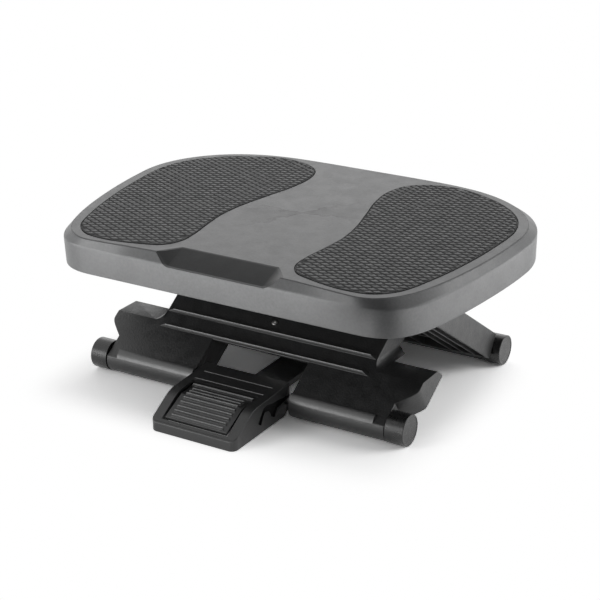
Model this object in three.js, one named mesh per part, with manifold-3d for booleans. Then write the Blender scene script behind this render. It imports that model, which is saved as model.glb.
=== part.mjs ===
// Tilting under-desk footrest: a grey tray with two rubber pads, on crossed legs
// whose spread is set by a pedal at the front.
// Millimetres. +X is the sitter's right, +Y points away from the sitter, +Z is up.

import * as THREE from 'three';
import { mergeVertices } from 'three/addons/utils/BufferGeometryUtils.js';
import { ConvexGeometry } from 'three/addons/geometries/ConvexGeometry.js';
import Module from 'manifold-3d';

const wasm = await Module();
wasm.setup();

// Fits
const degree = Math.PI / 180;
const clearance = 0.3; // between pieces that touch or slide
const overrun = 3; // a cut runs this far past the face that it opens
const bury = 1.5; // a joined body reaches this far into the one that carries it
const roundSides = 28; // sides of a pin, rod or washer
const capSides = 40;

// Crossed legs: a leg is a slab measured along its run, from its foot axis upward
const legAngle = 33.6 * degree;
const lowerArm = 127.1; // crossing pin to foot axis
const upperArm = 76; // crossing pin to upper axis
const footRadius = 15.7;
const footHalfSpan = 181; // over the end caps; both legs take their widths from it
const capLength = 19.4;
const capGroove = 0.8; // gap between a leg and its end cap
const capEdge = 2;
const plugRadius = 8.5;
const plugLength = 12;
const noseDrop = 0.5; // the legs' own noses stay this far off the floor
const slabTop = 12.5; // top face above the line through the axes
const skin = 3.4; // moulded walls of the legs
const ribWall = 2.2;

// Front leg
const frontSlabDepth = 29.7;
const earInset = 2.7; // the ears end this far inside the caps' faces
const earHalfWidth = footHalfSpan - earInset;
const neckRun = 17; // where the ear starts to flare
const flareRun = 21;
const crestRun = 45.7; // top of the ear on the upper face
const shelfDepth = 30; // level top of the ear
const earEndRun = 75;
const earLength = 55.3;
const barHalfWidth = earHalfWidth - earLength;
const flareShares = [[0.81, 0.62], [1, 0.76]]; // of the flare's width and run
const earFillet = 8.5;
const shoulderStep = 29;
const headHalfWidth = barHalfWidth - shoulderStep;
const headRadius = 8.6;
const shoulderPast = 12.5; // the bar keeps its width this far past the crossing pin
const ledgeRuns = [41.7, 61.2];
const ledgeInset = 1.5;
const ledgeHalfWidth = barHalfWidth - ledgeInset; // at the foot of its end ramps
const ledgeRamp = 5.5;
const ledgeHeight = 2.6;
const ledgeWidth = 2.6;
const pedalGapHalfWidth = 56;
const pedalGapRun = 38.5;
const guideHalfGap = 22; // the strut guide's cheeks stand on each side of the strut
const guideWall = 3.5;
const guideDrop = 2.5;
const guideLean = 24; // the cheeks' front edges lean back by this
const guideEndRun = 84;
const legScrewRun = 73;
const legScrewHead = 3;
const legScrewCrown = 1.1;
const frontPocketCount = 3; // between the pedal's gap and each side, and again in the head

// Rear leg
const rearSlabDepth = 26.8;
const rearInset = 8; // the arms end this far inside the caps' faces
const rearHalfWidth = footHalfSpan - rearInset;
const armGap = 4.4; // room for the pivot washer between the two legs
const armInnerHalf = barHalfWidth + armGap;
const webRun = 78; // the web joins the arms from the foot to here
const rearPocketCount = 3;
const armTipRadius = 9.2;
const armTaperPast = 42; // the arm tapers from here past the crossing pin
const strutSlotHalf = 22;
const strutSlotRun = 27;

// Pins, rods, washers and clips
const crossingPinRadius = 5;
const pinHeadRadius = 8;
const pinHeadThick = 2.5;
const rodRadius = 4;
const tiltAxleRadius = 4.5;
const clipRadius = 7.5;
const clipThick = 2.2;
const clipStandOff = 3; // a rod or pin shows this far past its clip
const footAxleHalf = 66;
const strutPinHalf = 31;

// Carrier that the tray tilts on
const railGap = 5; // between the front leg's head and a rail
const railInnerHalf = headHalfWidth + railGap;
const railWidth = 8;
const railHalfHeight = 7;
const railEndPast = 12; // rail behind the upper rear axis
const railNosePast = 31.5; // rail before the upper front axis at rest
const slotTravel = 17.6; // run of the slide rod between the highest and lowest setting
const slideBushRadius = 6;
const bushFlange = 1.6;
const deckThick = 4;
const deckFront = -32;
const deckBack = 19;
const deckDrop = 2.2; // deck top below the rails' top
const crossbarWidth = 6;
const uprightHalfWidth = 14;
const uprightRadius = 8.4;

// Tray
const tiltRise = 19.906; // tilt axle above the legs' upper axes
const restTilt = 1.64 * degree; // back edge higher
const trayRise = 17.3; // tray top above the tilt axis
const trayForward = 0.8; // tray centre behind the tilt axis
const trayHalfWidth = 226.5;
const trayHalfDepth = 157;
const skirtHeight = 37;
const bevelDrop = 8.6;
const edgeRound = 0.9;
const skirtDraft = 1;
const hemRound = 1.2;
const trayWall = 3.2;
const trayTopWall = 3.6;
const trayRibDepth = 7;
const trayRibWall = 2;
const innerRibInset = 8.4; // lengthwise ribs stand on each side of the rear leg's arms
const outerRibPast = 1;
const trayRibHalfs = [armInnerHalf - innerRibInset, footHalfSpan + outerRibPast];
const trayRibHalfRun = 96;

// The tray's right half as cubic stretches from front to back, in shares of its half sizes
const wallOutlineShares = [
  [0, -1], [0.25, -1], [0.45, -1],
  [0.663, -1], [0.817, -1], [0.876, -0.866],
  [0.91, -0.7], [0.947, -0.522], [1, -0.03],
  [1, 0.268], [1.007, 0.624], [0.826, 0.955],
  [0.486, 0.987], [0.376, 1], [0.177, 1],
  [0, 1],
];
const topOutlineShares = [
  [0, -0.947], [0.15, -0.947], [0.24, -0.947],
  [0.31, -0.95], [0.45, -0.957], [0.57, -0.985],
  [0.662, -0.985], [0.733, -0.985], [0.817, -0.904],
  [0.868, -0.713], [0.914, -0.548], [0.973, -0.159],
  [0.973, 0.255], [0.973, 0.573], [0.777, 0.873],
  [0.483, 0.923], [0.388, 0.946], [0.177, 0.943],
  [0, 0.943],
];
const outlineSteps = 60; // points along each half outline

// Foot pads: the right pad's outline, in the same shares
const padOutlineShares = [
  [0.284, -0.745], [0.281, -0.6], [0.297, -0.42], [0.307, -0.24], [0.291, -0.03], [0.25, 0.21],
  [0.217, 0.4], [0.205, 0.6], [0.24, 0.765], [0.333, 0.86], [0.476, 0.888], [0.62, 0.826],
  [0.755, 0.72], [0.868, 0.55], [0.922, 0.34], [0.919, 0.02], [0.893, -0.29], [0.848, -0.585],
  [0.79, -0.81], [0.705, -0.915], [0.57, -0.937], [0.42, -0.897], [0.33, -0.848],
];
const padSteps = 3; // outline points for each share pair
const padRecess = 1.6;
const padProud = 0.9;
const padGroove = 0.7;
const padEdge = 0.6;

// Trim plate in the scoop at the tray's front edge
const scoopHalfWidth = 52.8;
const scoopDepth = 24.5; // from the skirt's front, along the top
const scoopDrop = 9;
const scoopMouthHalf = 68.4;
const scoopMouthDepth = 8; // where the mouth's ends meet the top face
const trimThick = 1.8;
const trimMargin = 0.6;

// Tilt brackets under the tray
const lugWidth = 11.5;
const lugRadius = 9.2;
const washerThick = 2.4;
const washerRadius = 9;
const bracketPlate = 3;
const bracketHalfRun = 26;
const bracketInnerPast = 24; // the plate reaches this far inward of the lug
const bracketScrewRun = 18;
const bossWall = 1;
const screwTipSkin = 1; // of the tray's top wall, above the screw hole
const screwRadius = 1.9;
const screwHeadRadius = 4;
const screwHeadHeight = 2.4;
const screwBite = 5.2;

// Pedal housing: side profile forward of the foot axis (run, height)
const pedalHalfWidth = 48;
const pedalFrontPast = 95.6; // housing front before the foot axis
const pedalRearPast = 3.2;
const pedalFrontHeight = 10.5;
const pedalNoseBack = 1; // the front leans back by this above the nose height
const pedalNoseHeight = 9.8;
const pedalKneePast = 61;
const pedalKneeHeight = 30.4;
const pedalRearHeight = 32.6;
const pedalHeelPast = 6.5; // the side's lower edge ends here before the foot axis
const pedalHeelHeight = 8;
const pedalWall = 3;
const pedalCorner = 9;
const pedalLift = 0.4;
const cheekWidth = 4.5;
const cheekHalfRun = 10.5;
const windowHalfWidth = 37.4; // opening that the tread plate works in
const windowFrontPast = 91;
const windowRearPast = 36.5;
const pedalLineRuns = [31.2, 15]; // two fine grooves across the housing's top
const pedalLineHalf = 39.5;
const pedalLineWidth = 1;
const pedalLineDepth = 0.8;

// Crack in the housing's side walls, as run before the foot axis and height
const crackUpper = [
  [54.2, 12.4], [48.7, 19.6], [44.2, 24.6], [37.7, 25.6],
  [27, 23.2], [20.5, 23], [9.5, 21.4], [3.6, 20.8],
];
const crackLower = [
  [3.6, 17.2], [11.9, 16.5], [19.6, 15.5], [23, 11.2], [25.3, 7.6],
  [30.7, 10.3], [32.7, 15.3], [35.8, 18.6], [42.2, 20], [45.6, 15.7], [49, 8.9],
];

// Tread plate: the part that the foot presses
const treadDrop = 2.4; // below the housing's top, from the knee back
const treadHalfWidth = 35;
const treadFrontPast = 88.4;
const treadFrontHeight = 14.8; // almost flush with the housing's lip
const treadThick = 3;
const treadPinPast = 28.6; // hinge pin before the foot axis
const treadPinHeight = 21.5;
const treadPinRadius = 2.5;
const knuckleRadius = 5;
const knuckleInner = 22;
const knuckleOuter = 34;
const ribCount = 8;
const ribPitch = 5.7;
const ribFirstPast = 85.6;
const ribHalfLength = 29.5;
const ribHeight = 1.7;
const ribWidth = 2;
const barPast = 41.4;
const barHalfLength = 34.5;
const barWidth = 3.4;
const pawlHalfWidth = 9;
const pawlPast = 8.6; // tooth before the foot axis
const pawlWidth = 5;
const pawlThick = 3.5;
const toothGap = 0.45; // tooth drawn just lifted out of the strut's notches
const springTurns = 5;
const springWire = 1.3;
const springRadius = 4.4;
const springPitch = 2.1;
const springSides = 6;
const springSteps = 12; // for each turn

// Strut between the feet
const strutHalfWidth = 19.5;
const strutBottom = 2.6;
const strutThick = 6.6;
const strutEyeRadius = 8;
const strutNotchPitch = 14.05;
const strutNotchWidth = 7;
const strutNotchDepth = 3;
const strutNotchCount = 3;
const strutEndPast = 9; // strut before its front notch
const strutRampRun = 17;

// Finishes
const greyShell = { color: 0x7d7e80, roughness: 0.55, metalness: 0 };
const darkRubber = { color: 0x4a4b4d, roughness: 0.9, metalness: 0 };
const darkTrim = { color: 0x3c3c3e, roughness: 0.45, metalness: 0 };
const blackPlastic = { color: 0x26272a, roughness: 0.6, metalness: 0 };
const pedalPlastic = { color: 0x2e2f33, roughness: 0.5, metalness: 0 };
const capRubber = { color: 0x232326, roughness: 0.5, metalness: 0 };
const bareSteel = { color: 0xb8bbc0, roughness: 0.35, metalness: 1 };
const whiteAcetal = { color: 0xd8d8d2, roughness: 0.45, metalness: 0 };

// Places worked out from the sizes
const crossingHeight = footRadius + lowerArm * Math.sin(legAngle);
const footReach = lowerArm * Math.cos(legAngle);
const topHeight = crossingHeight + upperArm * Math.sin(legAngle);
const topReach = upperArm * Math.cos(legAngle);
const tiltAxisHeight = topHeight + tiltRise;
const noseRadius = footRadius - noseDrop;
const topRun = lowerArm + upperArm;
const neckHalfWidth = footHalfSpan - capLength - capGroove;

// Solids from three.js shapes

function toSolid(geometry) {
  const bare = geometry.clone();
  bare.deleteAttribute('normal');
  bare.deleteAttribute('uv');
  const welded = mergeVertices(bare);
  return new wasm.Manifold(new wasm.Mesh({
    numProp: 3,
    vertProperties: new Float32Array(welded.attributes.position.array),
    triVerts: new Uint32Array(welded.index.array),
  }));
}

function toGeometry(solid) {
  const mesh = solid.getMesh();
  const geometry = new THREE.BufferGeometry();
  geometry.setAttribute('position', new THREE.BufferAttribute(new Float32Array(mesh.vertProperties), 3));
  geometry.setIndex(new THREE.BufferAttribute(new Uint32Array(mesh.triVerts), 1));
  geometry.computeVertexNormals();
  return geometry;
}

function block(x0, x1, y0, y1, z0, z1) {
  const geometry = new THREE.BoxGeometry(x1 - x0, y1 - y0, z1 - z0);
  geometry.translate((x0 + x1) / 2, (y0 + y1) / 2, (z0 + z1) / 2);
  return toSolid(geometry);
}

// A rod along X
function rod(radius, x0, x1, y, z, sides = roundSides) {
  const geometry = new THREE.CylinderGeometry(radius, radius, x1 - x0, sides);
  geometry.rotateZ(Math.PI / 2);
  geometry.translate((x0 + x1) / 2, y, z);
  return toSolid(geometry);
}

// A rod along Z
function post(radius, x, y, z0, z1, sides = roundSides) {
  const geometry = new THREE.CylinderGeometry(radius, radius, z1 - z0, sides);
  geometry.rotateX(Math.PI / 2);
  geometry.translate(x, y, (z0 + z1) / 2);
  return toSolid(geometry);
}

function shapeOf(points) {
  return new THREE.Shape(points.map(([a, b]) => new THREE.Vector2(a, b)));
}

// A flat plate: outline in X and Y, from z0 to z1
function plate(points, z0, z1) {
  const geometry = new THREE.ExtrudeGeometry(shapeOf(points), { depth: z1 - z0, bevelEnabled: false });
  geometry.translate(0, 0, z0);
  return toSolid(geometry);
}

// A bar of constant section: section in Y and Z, from x0 to x1
function bar(points, x0, x1) {
  const geometry = new THREE.ExtrudeGeometry(shapeOf(points), { depth: x1 - x0, bevelEnabled: false });
  const turn = new THREE.Matrix4().makeBasis(
    new THREE.Vector3(0, 1, 0), new THREE.Vector3(0, 0, 1), new THREE.Vector3(1, 0, 0));
  geometry.applyMatrix4(turn);
  geometry.translate(x0, 0, 0);
  return toSolid(geometry);
}

function joined(solids) {
  return solids.reduce((sum, solid) => sum.add(solid));
}

function cut(solid, tools) {
  return tools.reduce((rest, tool) => rest.subtract(tool), solid);
}

function bothSides(make) {
  return [-1, 1].map(make);
}

// Points of an arc about (cy, cz), ends included
function arc(cy, cz, radius, from, to, steps) {
  const points = [];
  for (let i = 0; i <= steps; i += 1) {
    const angle = from + (to - from) * i / steps;
    points.push([cy + radius * Math.cos(angle), cz + radius * Math.sin(angle)]);
  }
  return points;
}

// A closed body through rings of equal point counts, lowest first; its ends fan out from their middles
function loft(rings) {
  const count = rings[0].length;
  const positions = rings.flat().flatMap(([x, y, z]) => [x, y, z]);
  const index = [];
  for (let r = 0; r + 1 < rings.length; r += 1) {
    for (let i = 0; i < count; i += 1) {
      const a = r * count + i;
      const b = r * count + (i + 1) % count;
      index.push(a, b, b + count, a, b + count, a + count);
    }
  }
  const last = (rings.length - 1) * count;
  const low = rings.length * count;
  for (let i = 0; i < count; i += 1) {
    const next = (i + 1) % count;
    index.push(low, next, i, low + 1, last + i, last + next);
  }
  positions.push(...middleOf(rings[0]), ...middleOf(rings[rings.length - 1]));
  const geometry = new THREE.BufferGeometry();
  geometry.setAttribute('position', new THREE.Float32BufferAttribute(positions, 3));
  geometry.setIndex(index);
  return toSolid(geometry);
}

function middleOf(points) {
  const sum = points.reduce(([a, b, c], [x, y, z]) => [a + x, b + y, c + z]);
  return sum.map((value) => value / points.length);
}

function piece(name, shape, finish) {
  const geometry = shape instanceof THREE.BufferGeometry ? shape : toGeometry(shape);
  const mesh = new THREE.Mesh(geometry, new THREE.MeshStandardMaterial(finish));
  mesh.name = name;
  return mesh;
}

function groupOf(children, x = 0, y = 0, z = 0) {
  const group = new THREE.Group();
  group.add(...children);
  group.position.set(x, y, z);
  return group;
}

// The two ends of a stretch along X on one side, lower first
function spanOf(side, from, to) {
  return side < 0 ? [-to, -from] : [from, to];
}

const sideName = (side) => (side < 0 ? 'left' : 'right');

// Legs, drawn along their run in Y with Z square to the slab

// Section of a slab with a round nose about the foot axis
function slabSection(bottom, tail) {
  const topStart = Math.asin(slabTop / noseRadius);
  const bottomReach = Math.min(-bottom, noseRadius);
  const bottomEnd = Math.PI + Math.asin(bottomReach / noseRadius);
  const nose = arc(0, 0, noseRadius, Math.PI - topStart, bottomEnd, 18);
  return [...nose, ...tail];
}

// Legs end in sockets that take the plugs of the end caps
function plugSocket(side) {
  const mouth = neckHalfWidth + overrun;
  const floor = neckHalfWidth - plugLength - 2 * clearance;
  const ends = spanOf(side, floor, mouth);
  return rod(plugRadius + clearance, ends[0], ends[1], 0, 0);
}

// Plan of the front leg's lower part: neck beside the cap, then the flared ear
function earPlan() {
  const flare = new THREE.CubicBezierCurve(
    new THREE.Vector2(neckHalfWidth, neckRun),
    ...flareShares.map(([sx, sy]) => new THREE.Vector2(
      neckHalfWidth + (earHalfWidth - neckHalfWidth) * sx, neckRun + flareRun * sy)),
    new THREE.Vector2(earHalfWidth, neckRun + flareRun));
  const right = [
    [neckHalfWidth, -noseRadius - overrun],
    ...flare.getPoints(10).map((p) => [p.x, p.y]),
    [earHalfWidth, earEndRun + overrun],
  ];
  const left = right.map(([x, y]) => [-x, y]).reverse();
  return [...right, ...left];
}

// Concave fillet where the ear's level top meets the bar, drawn along world Y
function earFilletBody(side, bottom) {
  const shelf = [crestRun, slabTop];
  const arcPoints = arc(barHalfWidth + earFillet, earFillet, earFillet, Math.PI, 1.5 * Math.PI, 8);
  const section = [
    [barHalfWidth - bury, -bury],
    [barHalfWidth + earFillet, -bury],
    ...arcPoints.reverse(),
    [barHalfWidth - bury, earFillet],
  ];
  const length = (slabTop - bottom) / Math.sin(legAngle);
  const geometry = new THREE.ExtrudeGeometry(
    shapeOf(section.map(([x, z]) => [x, z])), { depth: length + 2 * overrun, bevelEnabled: false });
  geometry.translate(0, 0, -length - overrun);
  const up = new THREE.Vector3(0, Math.sin(legAngle), Math.cos(legAngle));
  const back = new THREE.Vector3(0, Math.cos(legAngle), -Math.sin(legAngle));
  const across = new THREE.Vector3(1, 0, 0);
  geometry.applyMatrix4(new THREE.Matrix4().makeBasis(across, up, back.clone().negate()));
  geometry.translate(0, shelf[0], shelf[1]);
  const body = toSolid(geometry);
  return side < 0 ? body.mirror([1, 0, 0]) : body;
}

function ledge(run) {
  const half = ledgeHalfWidth;
  const foot = slabTop - bury;
  const crest = slabTop + ledgeHeight;
  const section = [
    [run - ledgeWidth, foot],
    [run + ledgeWidth / 2, foot],
    [run + ledgeWidth / 2, crest],
    [run - ledgeWidth / 2, crest],
    [run - ledgeWidth, slabTop],
  ];
  const ends = bothSides((side) => {
    const ramp = [[half, slabTop], [half - ledgeRamp, crest], [half - ledgeRamp, crest + overrun],
      [half + overrun, crest + overrun], [half + overrun, slabTop]];
    const corners = ramp.flatMap(([x, z]) => [run - 2 * ledgeWidth, run + 2 * ledgeWidth]
      .map((y) => new THREE.Vector3(side * x, y, z)));
    return toSolid(new ConvexGeometry(corners));
  });
  return cut(bar(section, -half, half), ends);
}

// Long pockets that open on the slab's underside, with ribs left between them
function pockets(x0, x1, y0, y1, bottom, count) {
  const width = (x1 - x0 - (count - 1) * ribWall) / count;
  const tools = [];
  for (let i = 0; i < count; i += 1) {
    const start = x0 + i * (width + ribWall);
    tools.push(block(start, start + width, y0, y1, bottom - overrun, slabTop - skin));
  }
  return tools;
}

function frontLegShell() {
  const bottom = slabTop - frontSlabDepth;
  const shoulderRun = lowerArm + shoulderPast;
  const shelfFall = shelfDepth * Math.sin(legAngle);
  const earTail = [
    [earEndRun, bottom],
    [crestRun + shelfDepth * Math.cos(legAngle), slabTop - shelfFall],
    [crestRun, slabTop],
  ];
  const ears = bar(slabSection(bottom, earTail), -earHalfWidth, earHalfWidth)
    .intersect(plate(earPlan(), bottom - overrun, slabTop + overrun));
  const barBody = block(-barHalfWidth, barHalfWidth, neckRun, shoulderRun, bottom, slabTop);
  const headSection = [
    [lowerArm, bottom],
    [topRun - headRadius, -headRadius],
    ...arc(topRun, 0, headRadius, -Math.PI / 2, Math.PI / 2, 14),
    [topRun - 3 * headRadius, slabTop],
    [lowerArm, slabTop],
  ];
  const head = bar(headSection, -headHalfWidth, headHalfWidth);
  const slab = block(-earHalfWidth, earHalfWidth, neckRun, shoulderRun, bottom, slabTop);
  const fillets = bothSides((side) => earFilletBody(side, bottom).intersect(slab));
  const body = joined([ears, barBody, head, ...fillets]);

  const gap = block(-pedalGapHalfWidth, pedalGapHalfWidth, -noseRadius - overrun, pedalGapRun,
    bottom - overrun, slabTop + overrun);
  const pocketStart = noseRadius - skin;
  const innerEdge = pedalGapHalfWidth + skin;
  const sidePockets = bothSides((side) => {
    const xs = spanOf(side, innerEdge, barHalfWidth - skin);
    return pockets(xs[0], xs[1], pocketStart, shoulderRun - skin, bottom, frontPocketCount);
  }).flat();
  const earPockets = bothSides((side) => {
    const xs = spanOf(side, barHalfWidth, neckHalfWidth - skin);
    return block(xs[0], xs[1], pocketStart, crestRun, bottom - overrun, 0);
  });
  const midPockets = pockets(-pedalGapHalfWidth, pedalGapHalfWidth, pedalGapRun - overrun,
    shoulderRun - skin, bottom, 1);
  const headPockets = pockets(-headHalfWidth + skin, headHalfWidth - skin,
    shoulderRun, topRun - 3 * headRadius, bottom, frontPocketCount);
  const screwHole = post(screwRadius + clearance, 0, legScrewRun, 0, slabTop + overrun);
  const hollow = cut(body, [gap, ...sidePockets, ...earPockets, ...midPockets, ...headPockets]);
  const pinHoles = bothSides((side) => {
    const xs = spanOf(side, barHalfWidth - skin - overrun, barHalfWidth + overrun);
    return rod(crossingPinRadius + clearance, xs[0], xs[1], lowerArm, 0);
  });
  const hingeBore = rod(rodRadius + clearance, -headHalfWidth - overrun, headHalfWidth + overrun, topRun, 0);
  const axleBore = rod(rodRadius + clearance, -footAxleHalf - clearance, footAxleHalf + clearance, 0, 0);
  const whole = joined([hollow, ...ledgeRuns.map(ledge)]);
  return cut(whole, [...pinHoles, hingeBore, axleBore, screwHole, plugSocket(-1), plugSocket(1)]);
}

// Channel screwed under the front leg; its cheeks keep the strut in line
function strutGuide() {
  const bottom = slabTop - frontSlabDepth - guideDrop;
  const high = slabTop - skin - clearance;
  const half = guideHalfGap + guideWall;
  const start = pedalGapRun + skin;
  const cheeks = bothSides((side) => {
    const xs = spanOf(side, guideHalfGap, half);
    return bar([
      [start, high],
      [start + guideLean, bottom],
      [earEndRun - guideDrop, bottom],
      [guideEndRun, bottom + 2 * guideDrop],
      [guideEndRun, high],
    ], xs[0], xs[1]);
  });
  const base = block(-half, half, start, guideEndRun, high - skin, high);
  const hole = post(screwRadius + clearance, 0, legScrewRun, high - skin - overrun, high + overrun);
  return cut(joined([base, ...cheeks]), [hole]);
}

function legScrew() {
  const seat = slabTop + clearance;
  const head = post(legScrewHead, 0, legScrewRun, seat, seat + legScrewCrown);
  const tip = slabTop - 2 * skin - 2 * clearance;
  const shank = post(screwRadius, 0, legScrewRun, tip, seat + legScrewCrown / 2);
  return head.add(shank);
}

// Room for the slide rod's clip and end inside an arm
function clipSeat(side) {
  const from = armInnerHalf + skin;
  const to = from + clipThick + clipStandOff + 3 * clearance;
  const xs = spanOf(side, from, to);
  return rod(clipRadius + clearance, xs[0], xs[1], topRun, 0);
}

function rearLegFrame() {
  const bottom = slabTop - rearSlabDepth;
  const taperRun = lowerArm + armTaperPast;
  const tip = [
    [taperRun, bottom],
    [topRun, -armTipRadius],
    ...arc(topRun, 0, armTipRadius, -Math.PI / 2, Math.PI / 2, 14).slice(1),
    [taperRun, slabTop],
  ];
  const body = bar(slabSection(bottom, tip), -rearHalfWidth, rearHalfWidth);
  const opening = block(-armInnerHalf, armInnerHalf, webRun, topRun + armTipRadius + overrun,
    bottom - overrun, slabTop + overrun);
  const strutSlot = block(-strutSlotHalf, strutSlotHalf, -noseRadius - overrun, strutSlotRun,
    bottom - overrun, slabTop + overrun);
  const capNotches = bothSides((side) => {
    const xs = spanOf(side, neckHalfWidth, rearHalfWidth + overrun);
    const reach = footRadius + capGroove;
    return block(xs[0], xs[1], -reach - overrun, reach, -footRadius - overrun, slabTop + overrun);
  });
  const pocketStart = noseRadius - skin;
  const armPockets = bothSides((side) => {
    const xs = spanOf(side, armInnerHalf + skin, rearHalfWidth - skin);
    return pockets(xs[0], xs[1], footRadius + capGroove + skin, taperRun, bottom, rearPocketCount);
  }).flat();
  const webPockets = bothSides((side) => {
    const xs = spanOf(side, strutSlotHalf + skin, armInnerHalf);
    return pockets(xs[0], xs[1], pocketStart, webRun - skin, bottom, rearPocketCount);
  }).flat();
  const midPocket = block(-strutSlotHalf, strutSlotHalf, strutSlotRun + skin, webRun - skin,
    bottom - overrun, slabTop - skin);
  const pinHoles = bothSides((side) => {
    const xs = spanOf(side, armInnerHalf - overrun, armInnerHalf + skin + overrun);
    return [
      rod(crossingPinRadius + clearance, xs[0], xs[1], lowerArm, 0),
      rod(rodRadius + clearance, xs[0], xs[1], topRun, 0),
      clipSeat(side),
    ];
  }).flat();
  const tipPockets = bothSides((side) => {
    const xs = spanOf(side, armInnerHalf + skin, rearHalfWidth - skin);
    return block(xs[0], xs[1], taperRun - bury, topRun, bottom - overrun, armTipRadius - skin);
  });
  const strutBore = rod(rodRadius + clearance, -strutPinHalf - clearance, strutPinHalf + clearance, 0, 0);
  return cut(body, [opening, strutSlot, ...capNotches, ...armPockets, ...webPockets, midPocket,
    ...tipPockets, ...pinHoles, strutBore, plugSocket(-1), plugSocket(1)]);
}

// Round rubber cap with a plug, its axis along X
function endCap(name, side) {
  const round = capEdge;
  const edge = arc(footHalfSpan - round, footRadius - round, round, Math.PI / 2, 0, 5);
  const inner = footHalfSpan - capLength;
  const profile = [
    [inner - plugLength, 0],
    [inner - plugLength, plugRadius],
    [inner, plugRadius],
    [inner, footRadius - clearance],
    [inner + clearance, footRadius],
    ...edge,
    [footHalfSpan, 0],
  ];
  const geometry = new THREE.LatheGeometry(
    profile.map(([along, radius]) => new THREE.Vector2(radius, along)), capSides);
  geometry.rotateZ(-Math.PI / 2);
  const solid = toSolid(geometry);
  return piece(name, side < 0 ? solid.mirror([1, 0, 0]) : solid, capRubber);
}

function ring(name, outer, inner, x0, x1, y, z, finish) {
  const xs = [x0, x1].sort((a, b) => a - b);
  const body = rod(outer, xs[0], xs[1], y, z);
  const bore = rod(inner, xs[0] - overrun, xs[1] + overrun, y, z);
  return piece(name, body.subtract(bore), finish);
}

// Shoulder pin through the front leg's bar and the rear leg's arm, with its washer and clip
function crossingPin(side) {
  const headOuter = barHalfWidth - skin - clearance;
  const clipInner = armInnerHalf + skin + clearance;
  const tip = clipInner + clipThick + clipStandOff;
  const spans = [
    [headOuter - pinHeadThick, headOuter, pinHeadRadius],
    [headOuter - bury, tip, crossingPinRadius],
  ];
  const body = joined(spans.map(([from, to, radius]) => {
    const xs = spanOf(side, from, to);
    return rod(radius, xs[0], xs[1], lowerArm, 0);
  }));
  const name = sideName(side);
  return [
    piece(`pivot_pin_${name}`, body, bareSteel),
    ring(`pivot_washer_${name}`, pinHeadRadius, crossingPinRadius + clearance,
      side * (barHalfWidth + clearance), side * (armInnerHalf - clearance), lowerArm, 0, whiteAcetal),
    ring(`pivot_clip_${name}`, clipRadius, crossingPinRadius + clearance,
      side * clipInner, side * (clipInner + clipThick), lowerArm, 0, bareSteel),
  ];
}

// The strut hangs on the rear foot axis and reaches forward into the pedal, with a row of notches there
function heightStrut() {
  const back = 0;
  const front = -2 * footReach - pawlPast - (strutNotchCount - 1) * strutNotchPitch - strutEndPast;
  const low = strutBottom - footRadius;
  const high = low + strutThick;
  const rampStart = -strutEyeRadius;
  const section = [
    [front, low],
    [back, low],
    ...arc(back, 0, strutEyeRadius, -Math.PI / 3, Math.PI, 16),
    [rampStart - strutRampRun * 0.4, high],
    [front, high],
  ];
  const body = bar(section, -strutHalfWidth, strutHalfWidth);
  const notches = [];
  for (let i = 0; i < strutNotchCount; i += 1) {
    const centre = -2 * footReach - pawlPast - i * strutNotchPitch;
    notches.push(block(-pawlHalfWidth - 1.5 * clearance, pawlHalfWidth + 1.5 * clearance,
      centre - strutNotchWidth / 2, centre + strutNotchWidth / 2, high - strutNotchDepth, high + overrun));
  }
  const bore = rod(rodRadius + clearance, -strutHalfWidth - overrun, strutHalfWidth + overrun, back, 0);
  return cut(body, [...notches, bore]);
}

// Pedal, drawn with Y forward of the foot axis as negative and Z from the floor

function pedalTopAt(past) {
  if (past >= pedalKneePast) {
    const share = (past - pedalKneePast) / (pedalFrontPast - pedalKneePast);
    return pedalKneeHeight + (pedalFrontHeight - pedalKneeHeight) * share;
  }
  const share = (pedalKneePast - past) / (pedalKneePast + pedalRearPast);
  return pedalKneeHeight + (pedalRearHeight - pedalKneeHeight) * share;
}

function pedalSection(inset, floor) {
  return [
    [-pedalFrontPast + inset, floor],
    [-pedalHeelPast, floor],
    [pedalRearPast - inset, floor + (inset > 0 ? 0 : pedalHeelHeight)],
    [pedalRearPast - inset, pedalTopAt(-pedalRearPast) - inset],
    [-pedalKneePast + inset / 3, pedalTopAt(pedalKneePast) - inset],
    [-pedalFrontPast + pedalNoseBack + inset, pedalTopAt(pedalFrontPast - pedalNoseBack) - inset],
    [-pedalFrontPast + inset, pedalNoseHeight],
  ];
}

// Plan with rounded front corners
function pedalPlan(half, front, back, corner) {
  const right = arc(half - corner, -front + corner, corner, -Math.PI / 2, 0, 6);
  const left = right.map(([x, y]) => [-x, y]).reverse();
  return [...right, [half, back], [-half, back], ...left];
}

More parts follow.
